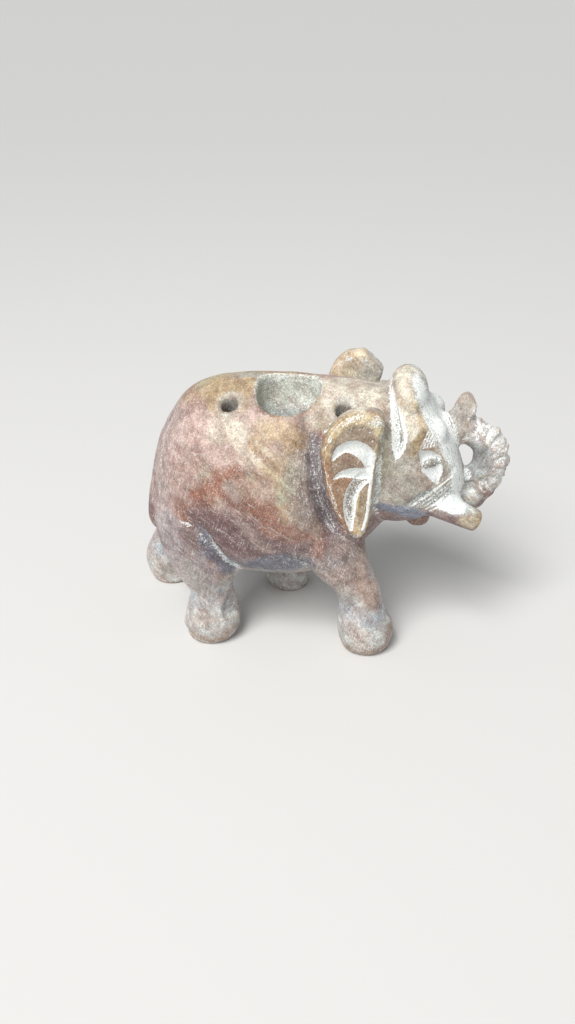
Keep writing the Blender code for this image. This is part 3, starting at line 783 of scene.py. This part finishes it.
LOOSE_PATCHES = (
    # the rump and the top of the haunch
    (card(188, 164, 158), 0.85, (
        (-27.0, 8.0, 47.0, 6.5), (-29.0, 8.0, 40.0, 7.0), (-29.0, 10.0, 31.0, 6.0),
    )),
    (card(200, 168, 156), 0.85, ((-22.0, 11.0, 48.5, 5.5), (-23.0, 14.0, 41.0, 5.5))),
    (card(176, 166, 166), 0.7, ((-27.0, 12.0, 30.0, 4.0), (-25.0, 14.2, 23.0, 4.0))),
    # the back and the upper flank
    (card(204, 170, 158), 0.8, (
        (-19.5, 10.5, 50.5, 3.5), (-16.0, 14.5, 45.5, 3.5), (-11.0, 14.8, 44.5, 2.5),
    )),
    (CREAM, 0.7, ((-15.6, 10.9, 50.3, 3.0), (-12.0, 12.0, 49.0, 2.6), (-9.0, 14.0, 45.0, 2.4))),
    (OCHRE, 0.9, (
        (-18.4, 1.5, 54.9, 2.6), (-17.5, 5.3, 54.1, 2.6),
        (-15.6, 0.8, 55.3, 2.6), (-11.0, 0.6, 55.9, 2.2),
    )),
    (card(204, 172, 132), 0.9, (
        (-8.5, 12.1, 49.5, 3.0), (-4.9, 11.6, 50.5, 3.0), (-2.4, 12.8, 48.5, 3.0),
    )),
    (card(208, 178, 144), 0.85, ((-6.5, 14.6, 44.5, 3.0), (-3.5, 14.8, 45.0, 2.6))),
    # the flank, down to the belly
    (card(168, 124, 106), 0.75, (
        (-15.5, 15.0, 41.5, 3.6), (-10.0, 15.9, 38.0, 4.6),
        (-4.0, 15.9, 34.0, 4.6), (0.5, 15.0, 30.5, 3.6),
    )),
    (card(160, 104, 82), 0.9, (
        (-19.8, 15.2, 36.6, 2.4), (-16.0, 15.0, 40.2, 2.8), (-12.6, 14.6, 43.0, 2.2),
    )),
    (RUST, 0.85, (
        (-14.0, 15.8, 38.2, 2.0), (-10.0, 15.9, 38.0, 3.0),
        (-6.6, 16.2, 35.0, 3.0), (-4.6, 16.2, 31.0, 3.2),
    )),
    (card(170, 124, 106), 0.85, (
        (-4.6, 16.0, 31.0, 2.2), (-1.0, 15.5, 30.0, 2.0),
        (2.2, 14.4, 31.0, 1.8), (3.0, 14.5, 26.5, 1.6),
    )),
    (card(198, 166, 146), 0.85, ((-12.0, 15.4, 40.8, 2.2), (-7.4, 15.8, 40.0, 2.2))),
    (card(204, 176, 142), 0.75, (
        (-4.6, 15.0, 43.5, 2.8), (-3.4, 15.2, 39.0, 2.8), (-2.4, 15.2, 35.0, 2.2),
    )),
    (card(196, 190, 156), 0.85, (
        (-4.4, 15.7, 38.4, 1.5), (-3.0, 15.4, 40.6, 2.0), (-2.6, 14.8, 43.5, 1.2),
    )),
    (card(202, 186, 174), 0.7, ((-14.2, 15.4, 40.6, 1.3), (-12.8, 15.4, 38.6, 1.2))),
    # painted shade in plum, low on the flank
    (PLUM_SHADE, 0.9, (
        (-19.5, 15.0, 34.0, 3.6), (-15.5, 15.2, 29.5, 4.6),
        (-9.8, 15.0, 27.2, 4.4), (-4.5, 14.8, 27.0, 3.2),
    )),
    (card(118, 84, 84), 0.6, (
        (-18.4, 15.2, 33.4, 1.8), (-14.0, 15.6, 32.5, 1.8), (-10.0, 15.8, 33.0, 1.6),
    )),
    (card(188, 166, 156), 0.75, (
        (-12.4, 15.8, 34.0, 0.7), (-10.2, 15.9, 31.2, 1.1),
        (-8.4, 15.5, 28.2, 1.2), (-6.6, 14.8, 26.0, 0.8),
    )),
    # the belly, the creases and the legs
    # painted shade with a painted blue reflection, in the fold under the belly
    (card(112, 122, 142), 0.8, (
        (-10.5, 12.0, 21.4, 2.2), (-5.0, 13.2, 22.2, 3.0), (1.0, 13.7, 22.6, 2.6),
    )),
    (card(160, 140, 136), 0.7, ((-21.5, 14.9, 28.0, 2.4), (-23.0, 14.5, 24.0, 2.6))),
    # blue-grey along the haunch crease: partly dust, partly painted shade and blue reflection
    (card(126, 134, 152), 0.75, (
        (-20.2, 14.5, 31.0, 0.7), (-18.0, 13.6, 25.0, 1.7), (-15.0, 12.0, 19.7, 2.2),
    )),
    (card(176, 164, 158), 0.8, ((-22.0, 14.9, 20.4, 3.4), (-20.5, 14.2, 14.5, 4.0))),
    (card(178, 166, 158), 0.8, ((2.0, 13.5, 20.5, 2.2), (5.4, 14.0, 16.5, 2.2))),
    (card(196, 166, 148), 0.85, (
        (10.6, 14.5, 22.0, 2.2), (13.0, 14.2, 16.0, 2.4), (14.6, 13.2, 13.0, 1.8),
    )),
    (card(166, 136, 116), 0.8, (
        (18.6, 11.6, 5.6, 1.3), (18.2, 10.6, 2.2, 1.6),
        (15.0, 13.4, 1.4, 1.2), (10.0, 14.6, 1.3, 1.0),
    )),
    (card(186, 156, 128), 0.7, (
        (-25.0, 14.0, 2.2, 1.0), (-20.0, 15.4, 1.8, 1.3), (-16.0, 13.6, 2.4, 1.2),
    )),
    # the head, the neck and the nape
    (card(190, 180, 164), 0.95, (
        (16.8, 10.4, 45.5, 3.4), (17.6, 10.4, 41.0, 4.6), (19.6, 10.2, 37.0, 4.4),
    )),
    (card(172, 164, 140), 0.85, (
        (14.0, 11.5, 50.0, 1.4), (14.4, 11.6, 46.0, 1.5), (14.2, 11.5, 41.0, 1.3),
    )),
    (card(142, 158, 182), 0.85, (
        (14.9, 9.8, 34.4, 1.8), (18.5, 9.6, 33.4, 2.2), (22.2, 8.4, 31.6, 2.0),
    )),
    (card(246, 232, 208), 0.95, (
        (17.9, 0.1, 58.9, 4.0), (19.0, 6.4, 56.3, 3.6),
        (18.6, 8.4, 52.6, 3.2), (18.6, 9.4, 49.8, 2.4),
    )),
    (card(216, 178, 120), 0.8, (
        (20.2, 6.2, 55.1, 0.9), (21.3, 6.6, 53.0, 1.1), (21.2, 8.1, 51.4, 0.8),
    )),
    (card(172, 144, 96), 0.85, (
        (22.0, 7.6, 50.4, 1.1), (20.6, 9.0, 48.8, 1.3), (19.4, 9.8, 46.4, 1.2),
    )),
    (card(170, 132, 106), 0.85, (
        (25.2, 7.3, 46.9, 1.0), (26.6, 7.2, 44.2, 1.1), (27.4, 7.1, 41.0, 0.9),
    )),
    (card(236, 222, 200), 0.9, (
        (11.5, 2.0, 55.6, 3.5), (8.5, 3.0, 55.9, 4.5),
        (4.5, 4.0, 56.0, 3.6), (9.0, 8.0, 55.0, 3.4),
    )),
    (card(176, 136, 114), 0.8, ((23.2, 2.4, 27.6, 1.8), (25.0, 3.4, 27.6, 1.6))),
)
BELLY_SCRATCHED = ((-3.2, 14.6, 26.4, 4.6), (-2.6, 13.6, 23.6, 5.6), (-2.2, 12.2, 20.6, 5.6))
BELLY_SCUFFS = (
    ((-5.4, 14.2, 25.4, 0.25), (-5.0, 13.2, 22.4, 0.35), (-4.9, 12.4, 21.0, 0.2)),
    ((-3.9, 14.4, 25.0, 0.2), (-3.7, 13.4, 22.6, 0.3), (-3.7, 12.6, 21.4, 0.2)),
    ((-1.7, 14.8, 26.6, 0.25), (-1.3, 14.2, 24.0, 0.4), (-1.2, 12.6, 21.2, 0.3)),
    ((0.2, 14.4, 24.6, 0.2), (0.5, 13.8, 23.0, 0.3), (0.6, 12.8, 21.6, 0.2)),
)
BOTH_SIDES_PATCHES = (
    # painted shade in the hollow behind each ear
    (HOLLOW_SHADE, 0.95, HOLLOW_MIDDLE),
    (card(184, 170, 156), 0.55, (
        (-2.0, 13.7, 46.0, 1.6), (-2.0, 15.1, 41.0, 2.0),
        (-0.6, 15.3, 35.5, 2.0), (2.6, 13.4, 30.5, 1.6),
    )),
    (card(184, 168, 156), 0.45, SHOULDER_RAYS),
    (card(238, 238, 226), 0.9, FOREHEAD),
    (card(178, 182, 176), 0.85, (
        (20.7, 9.3, 36.0, 1.8), (24.0, 8.8, 36.6, 2.6), (27.4, 7.6, 37.6, 2.2),
    )),
    (card(204, 196, 186), 0.9, (
        (26.8, 1.0, 49.5, 2.0), (28.6, 1.2, 52.0, 2.4), (29.3, 0.8, 54.2, 2.0),
    )),
    (card(236, 236, 226), 0.9, (
        (29.2, 3.0, 40.0, 1.6), (30.4, 3.0, 36.5, 2.4), (32.6, 3.0, 33.8, 2.2),
    )),
    (POWDER, 0.95, ((26.2, 8.0, 34.9, 1.4), (28.0, 8.4, 34.8, 2.0), (30.3, 7.6, 34.0, 1.6))),
    (card(200, 182, 150), 0.9, (
        (30.6, 9.1, 31.7, 1.5), (32.6, 9.0, 31.2, 1.6), (34.0, 8.2, 31.8, 1.6),
    )),
)
waver = [
    random_lattice(points, 2.4, 30 + k) + 0.5 * random_lattice(points, 0.9, 40 + k)
    for k in range(3)
]
waver = np.stack(waver, axis=1)
loose, close = points + 1.0 * waver, points + 0.35 * waver
for colour, strength, rows in LOOSE_PATCHES:
    edge = 0.7 * np.mean([row[3] for row in rows])
    share = strength * ramp(depth_in(loose, rows, NEAR), -0.5, edge)
    tint = shown(tint, colour, share * (points[:, 1] * NEAR > -2))
for side in (NEAR, FAR):
    for colour, strength, rows in BOTH_SIDES_PATCHES:
        edge = 0.5 * np.mean([row[3] for row in rows])
        share = strength * ramp(depth_in(close, rows, side), -0.2, edge)
        tint = shown(tint, colour, share * (points[:, 1] * side > -1))

trunk_share = ramp(points[:, 0], 29.8, 30.8) * ramp(points[:, 2], 34.5, 36.0)
trunk_share = trunk_share * (np.abs(points[:, 1]) < 6)
tint = shown(tint, card(226, 216, 210), 0.9 * trunk_share)
tint = shown(tint, card(176, 182, 180), 0.85 * trunk_share * ramp(5.2 - ring_radius, 0, 1.4))
tint = shown(tint, card(240, 226, 208), 0.8 * trunk_share * ramp(points[:, 2], 50.0, 52.0))

# Ridges, lines and powdered places of the ears and the head, and the places with scratches along
# their path, each with how strong it is.
EAR_RIDGE = ((11.3, 13.6, 41.0, 0.9), (11.0, 14.0, 36.6, 1.1), (10.7, 14.3, 32.9, 0.8))
EAR_LINE = (
    (12.3, 13.2, 42.5, 0.3),
    (12.1, 13.7, 38.9, 0.3),
    (11.9, 13.8, 35.0, 0.3),
    (11.3, 13.9, 31.6, 0.25),
)
BEFORE_THE_EAR = ((13.6, 12.0, 41.5, 0.7), (13.5, 12.4, 36.0, 0.8), (12.9, 12.4, 31.4, 0.8))
TUSK_ROOT = ((26.2, 8.0, 34.9, 1.6), (28.0, 8.4, 34.8, 2.0), (30.0, 7.6, 34.2, 1.5))
CHEEK = ((20.7, 9.3, 35.6, 1.6), (24.0, 8.8, 36.6, 2.4), (27.4, 7.6, 37.6, 2.2))
SCRATCHED = (
    (HOLLOW_MIDDLE, 1.0),
    (HOLLOW_EDGE, 0.8),
    (FOREHEAD, 1.0),
    (SHOULDER_RAYS, 0.75),
    (BELLY_SCRATCHED, 0.9),
    (NAPE_WEDGE, 0.7),
)
# The rows, the powder, the width of its edge, and how far out from the middle it begins.
POWDERED = (
    (FOREHEAD, 0.72, 1.4, -1),
    (TUSK_ROOT, 0.8, 0.8, 0),
    (CHEEK, 0.44, 0.8, 0),
    (SHOULDER_RAYS, 0.27, 2.4, -99),
)
marks = np.zeros((len(points), 3))
hollow_shade_share = np.zeros(len(points))
dust = np.maximum(dust, 0.52 * rim_picked * ramp(clouds(points, 1.4, 60), 0.25, 0.7))
for side in (NEAR, FAR):
    ear_move = EAR_MOVE[side]
    outwards = side * points[:, 1]
    out_far = ramp(side * outward[:, 1], 0.0, 0.35) * ramp(outwards, *EAR_STANDS_OUT)
    there = close - ear_move
    edge = in_outline(there, EAR_EDGE)
    face = in_outline(there, EAR_FACE)
    on_ear = ramp(edge, -0.25, 0.05) * out_far
    low_rear = ramp(48.5 - points[:, 2], 0, 3) * ramp(11.0 - points[:, 0], 0, 2.5)
    high_face = ramp(face, 0.2, 0.9) * ramp(points[:, 2] - ear_move[2], 42.5, 45.0)
    tint = shown(tint, GOLD, on_ear * 0.95)
    tint = shown(tint, ORANGE, on_ear * 0.8 * low_rear)
    tint = shown(tint, BROWN, on_ear * 0.9 * high_face)
    ridge = ramp(depth_in(there, EAR_RIDGE, side), -0.1, 0.3)
    tint = shown(tint, card(156, 134, 104), on_ear * 0.9 * ridge)
    line = ramp(depth_in(points - ear_move, EAR_LINE, side), -0.15, 0.1)
    dust = np.maximum(dust, 0.9 * line * out_far)
    before = ramp(depth_in(points, BEFORE_THE_EAR, side), -0.3, 0.4) * (outwards > 5)
    tint = shown(tint, card(206, 214, 216), 0.9 * before * (1 - ramp(edge, -0.6, -0.1)))
    for rows, weight in SCRATCHED:
        inside, across, along = along_path(points, rows, side)
        share = weight * ramp(inside, -0.3, 1.6) * (outwards > -1)
        taken = share > marks[:, 2]
        marks[taken] = np.stack([across, along, share], axis=1)[taken]
    for rows, white, width, begins in POWDERED:
        white = white * ramp(depth_in(close, rows, side), -0.2, width)
        dust = np.maximum(dust, white * (outwards > begins))
    behind = ramp(depth_in(close, HOLLOW_MIDDLE, side), -0.8, -0.2) * (outwards > 5)
    off_the_ear = in_outline(points - ear_move, EAR_EDGE) < -0.2
    hollow_shade_share = np.maximum(hollow_shade_share, behind * off_the_ear)
    inside = depth_in(close, HOLLOW_EDGE, side)
    low_edge = ramp(inside, 0.4, 2.0) * ramp(-points[:, 2], -50, -46)
    dust = np.maximum(dust, 0.34 * low_edge * (outwards > 5))

tint = shown(tint, card(150, 154, 150), 0.85 * grey_middle)
inner_ear = ramp(-outward[:, 1], -0.2, 0.3) * (points[:, 1] > 7.0) * ramp(points[:, 2], 50.5, 53.0)
inner_ear = inner_ear * ramp(points[:, 0], 0.5, 2.0)
tint = shown(tint, card(244, 220, 186), 0.95 * inner_ear)
lower_front = ramp(points[:, 0] - 0.5 * points[:, 2], -21.0, -16.0)
tint = shown(tint, card(200, 200, 190), 0.8 * inner_ear * lower_front)
# Painted highlight: a pale grey line along the top of the back, where the light catches the crest.
painted_back_highlight = ramp(2.2 - np.abs(points[:, 1] - 1.2), 0, 1.5) * ramp(points[:, 2], 55.0, 56.0)
painted_back_highlight = painted_back_highlight * ramp(-points[:, 0], -2, 6)
tint = shown(tint, card(186, 188, 188), 0.6 * painted_back_highlight)
for rows in BELLY_SCUFFS:
    inside = depth_in(close, rows, NEAR)
    dust = np.maximum(dust, 0.46 * ramp(inside, -0.5, 0.4) * (points[:, 1] < -8))
well = well_share(points)
in_well = (well < 1.1) & (points[:, 2] > WELL_FLOOR_HEIGHT - 1)
toward = ((WELL_MIDDLE - points[:, :2]) * outward[:, :2]).sum(axis=1)
in_well = in_well & ((toward > 1.2) | ((well < 0.96) & (points[:, 2] < 51.5)))
around = np.hypot(*(points[:, :2] - WELL_MIDDLE).T)
# The well's walls are painted pale: partly powder, partly painted light as on a far wall lit from
# the front.
tint = shown(tint, card(228, 228, 212), 0.9 * in_well)
# Painted shade: the well's floor is painted darker grey, partly the grey cut stone and partly shade
# under the near rim.
low = ramp(53.0 - points[:, 2], 0, 4.0) * ramp(6.5 - around, 0, 3.0)
tint = shown(tint, card(142, 146, 144), 0.85 * in_well * low)
dust = np.where(in_well, 0.34 - 0.12 * low + 0.12 * ramp(points[:, 2], 52.5, 54.5), dust)
spin = np.arctan2(points[:, 1] - WELL_MIDDLE[1], points[:, 0] - WELL_MIDDLE[0])
turning = np.stack([around + points[:, 2], spin * 4.0, np.full(len(points), 0.45)], axis=1)
marks[in_well] = turning[in_well]
hole = from_stick_hole(points)
mouth = ramp(3.0 - hole, 0, 0.6) * (points[:, 2] > 42)
tint = shown(tint, card(204, 198, 184), 0.6 * mouth)
# painted shade deep in each stick hole, on the grey bored stone
tint = shown(tint, card(146, 142, 134), 0.8 * mouth * ramp(1.9 - hole, 0, 0.4))
dust = np.maximum(dust, 0.30 * mouth * ramp(hole, 1.5, 2.0))
trunk_marked = trunk_share * ramp(ring_radius, 2.2, 3.0) * ramp(6.2 - ring_radius, 0, 1.5)
taken = trunk_marked > marks[:, 2]
marks[taken] = np.stack([ring_radius, ring_angle * 6, trunk_marked], axis=1)[taken]

# Powder gathers where the surface is hollow and is rubbed off where it stands out.
span = ((points[edges[:, 0]] - points[edges[:, 1]]) ** 2).sum(axis=1)
near_span = np.bincount(edges[:, 0], span, len(points))
near_span = near_span + np.bincount(edges[:, 1], span, len(points))
near_span = near_span / np.maximum(np.bincount(edges.ravel(), minlength=len(points)), 1)
bend = 4 * ((neighbour_mean(points, edges) - points) * outward).sum(axis=1) / near_span
for _ in range(3):
    bend = 0.5 * bend + 0.5 * neighbour_mean(bend, edges)
dust = np.maximum(dust, np.clip(0.1 + 0.55 * bend, 0, 0.6) * (bend > 0))
# The hollow behind the ears keeps little powder, so that its painted shade stays dark.
dust = np.where(hollow_shade_share > 0.5, np.minimum(dust, 0.38), dust)
legs = ramp(22 - points[:, 2], 0, 8) * ramp(clouds(points, 3.0, 61), 0.2, 0.7)
dust = np.maximum(dust, 0.34 * legs * ramp(16 - points[:, 2], -6, 4))
dust = np.maximum(dust, 0.17 - 0.07 * ramp(0.30 - tint.mean(axis=1), 0, 0.15))
trunk_picked = ramp(ring_radius, 4.0, 5.5) * ramp(clouds(points, 1.6, 62), 0.0, 0.6)
dust = np.maximum(dust, 0.52 * trunk_share * trunk_picked)
worn = ramp(-bend, 0.35, 1.1) * (1 - ramp(dust, 0.45, 0.7))
tint = shown(tint, tint * (0.86, 0.74, 0.62), worn * 0.8)

# ---- The carved elephant: the finished piece
# The cut and coloured block as one mesh, in stone that is dulled by powder and gleams softly where
# hands have rubbed it.
GRAIN = 0.00007
BEDDING = (0.0, math.radians(-42), 0.0)
UPRIGHT = (0.0, math.radians(74), math.radians(8))
elephant_mesh.name = "marble_elephant"
elephant = bpy.data.objects.new("marble_elephant", elephant_mesh)
bpy.context.scene.collection.objects.link(elephant)
elephant_mesh.shade_smooth()
dust_layer = elephant_mesh.attributes.new("dust", "FLOAT", "POINT")
dust_layer.data.foreach_set("value", dust.astype(np.float32))
marks_layer = elephant_mesh.attributes.new("marks", "FLOAT_VECTOR", "POINT")
marks_layer.data.foreach_set("vector", marks.astype(np.float32).ravel())
tint_layer = elephant_mesh.attributes.new("tint", "FLOAT_COLOR", "POINT")
opaque = np.hstack([np.clip(tint, 0, 1), np.ones((len(points), 1))])
tint_layer.data.foreach_set("color", opaque.astype(np.float32).ravel())

stone, tree, shader = new_material("banded_stone")


def linked(kind, sockets, **settings):
    """A node of this kind with its settings, each socket given a value or another node's output."""
    made = tree.nodes.new(kind)
    for name, value in settings.items():
        setattr(made, name, value)
    for name, value in sockets.items():
        if isinstance(value, bpy.types.NodeSocket):
            tree.links.new(value, made.inputs[name])
        else:
            made.inputs[name].default_value = value
    return made


def stored(name, output):
    """What the mesh stores under this name."""
    return linked("ShaderNodeAttribute", {}, attribute_name=name).outputs[output]


def noise(place, scale, detail, roughness=0.55):
    """Fractal noise from 0 to 1, its grains one over the scale across."""
    sockets = {"Vector": place, "Scale": scale, "Detail": detail, "Roughness": roughness}
    return linked("ShaderNodeTexNoise", sockets).outputs["Fac"]


def between(value, low, high, start=0.0, end=1.0):
    """Rises smoothly from start to end as the value goes from low to high."""
    sockets = {"Value": value, "From Min": low, "From Max": high, "To Min": start, "To Max": end}
    return linked("ShaderNodeMapRange", sockets, interpolation_type="SMOOTHSTEP").outputs["Result"]


def plus(first, second):
    """The sum of two values."""
    return linked("ShaderNodeMath", {0: first, 1: second}, operation="ADD").outputs[0]


def times(first, second):
    """The product of two values."""
    return linked("ShaderNodeMath", {0: first, 1: second}, operation="MULTIPLY").outputs[0]


def blended(share, first, second, blend="MIX"):
    """The first colour with a share of the second laid over it."""
    sockets = {0: share, 6: first, 7: second}
    return linked("ShaderNodeMix", sockets, data_type="RGBA", blend_type=blend).outputs[2]


def turned(place, turn, stretch):
    """The place, turned first and then stretched along each of its new axes."""
    aligned = linked("ShaderNodeMapping", {"Vector": place, "Rotation": turn}).outputs["Vector"]
    return linked("ShaderNodeMapping", {"Vector": aligned, "Scale": stretch}).outputs["Vector"]


object_place = linked("ShaderNodeTexCoord", {}).outputs["Object"]
in_millimetres = {"Vector": object_place, "Scale": (1000, 1000, 1000)}
place = linked("ShaderNodeMapping", in_millimetres).outputs["Vector"]
mottle = noise(place, 0.55, 6.0, 0.62)
grain = noise(place, 3.0, 4.0, 0.75)
fleck = noise(place, 3.8, 2.0, 0.6)
scratch = noise(turned(place, BEDDING, (0.30, 1.4, 3.0)), 1.0, 4.0, 0.6)
upright_scratch = noise(turned(place, UPRIGHT, (0.34, 2.2, 4.4)), 1.0, 3.0, 0.65)
stored_marks = stored("marks", "Vector")
marks_sockets = {"Vector": stored_marks, "Scale": (4.6, 0.30, 0.0)}
marks_place = linked("ShaderNodeMapping", marks_sockets).outputs["Vector"]
mark_share = linked("ShaderNodeSeparateXYZ", {"Vector": stored_marks}).outputs["Z"]
mark = noise(marks_place, 1.0, 3.0, 0.6)
mark_light = times(between(mark, 0.50, 0.66), mark_share)
mark_dark = times(between(mark, 0.50, 0.36), mark_share)

colour = stored("tint", "Color")
shade = times(between(mottle, 0.30, 0.70, 0.74, 1.26), between(grain, 0.28, 0.72, 0.64, 1.30))
shades = {"Red": shade, "Green": shade, "Blue": shade}
shades = linked("ShaderNodeCombineColor", shades).outputs["Color"]
colour = blended(1.0, colour, shades, "MULTIPLY")
streaked = turned(place, BEDDING, (0.11, 0.34, 0.62))
streak = between(noise(streaked, 1.0, 5.0, 0.6), 0.36, 0.64)
streak_colours = blended(streak, (0.80, 0.70, 0.68, 1), (1.10, 1.10, 1.08, 1))
colour = blended(1.0, colour, streak_colours, "MULTIPLY")
vein = noise(place, 0.8, 5.0, 0.65)
vein_share = times(between(vein, 0.47, 0.50), between(vein, 0.53, 0.50))
colour = blended(times(vein_share, 0.35), colour, (0.16, 0.075, 0.045, 1))
colour = blended(times(mark_dark, 0.45), colour, (0.10, 0.09, 0.095, 1))
speck_share = times(between(fleck, 0.585, 0.655), between(mottle, 0.35, 0.6, 0.25, 0.75))
colour = blended(times(speck_share, 0.75), colour, (0.72, 0.70, 0.66, 1))
scratch_share = times(between(scratch, 0.57, 0.70), 0.42)
colour = blended(scratch_share, colour, (0.80, 0.77, 0.72, 1))
dark_share = times(between(upright_scratch, 0.46, 0.34), 0.34)
colour = blended(dark_share, colour, (0.13, 0.085, 0.07, 1))
light_share = times(between(upright_scratch, 0.57, 0.70), 0.40)
colour = blended(light_share, colour, (0.82, 0.79, 0.74, 1))

# Powder settles by the stored share, broken up by the grain, the flecks and the scratches.
powdered = plus(stored("dust", "Fac"), plus(grain, -0.5))
powdered = plus(powdered, times(plus(fleck, -0.5), 0.7))
powdered = plus(powdered, times(mark_light, 0.20))
powdered = plus(powdered, times(mark_dark, -0.20))
powder_share = times(between(powdered, 0.38, 0.66), 0.92)
powder_shade = between(grain, 0.30, 0.62, 0.66, 0.92)
powder_shade = times(powder_shade, between(fleck, 0.30, 0.60, 0.86, 1.04))
powder_sockets = {"Red": powder_shade, "Green": times(powder_shade, 1.03), "Blue": powder_shade}
powder_colour = linked("ShaderNodeCombineColor", powder_sockets).outputs["Color"]
colour = blended(powder_share, colour, powder_colour)
tree.links.new(colour, shader.inputs["Base Color"])
tree.links.new(between(powder_share, 0.0, 0.8, 0.46, 0.88), shader.inputs["Roughness"])
relief = plus(grain, times(mark, mark_share))
relief = plus(relief, times(scratch_share, -0.8))
bump = linked("ShaderNodeBump", {"Strength": 1.0, "Distance": GRAIN, "Height": relief})
tree.links.new(bump.outputs["Normal"], shader.inputs["Normal"])
elephant_mesh.materials.clear()
elephant_mesh.materials.append(stone)

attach(elephant, "root")
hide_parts("carved_elephant")
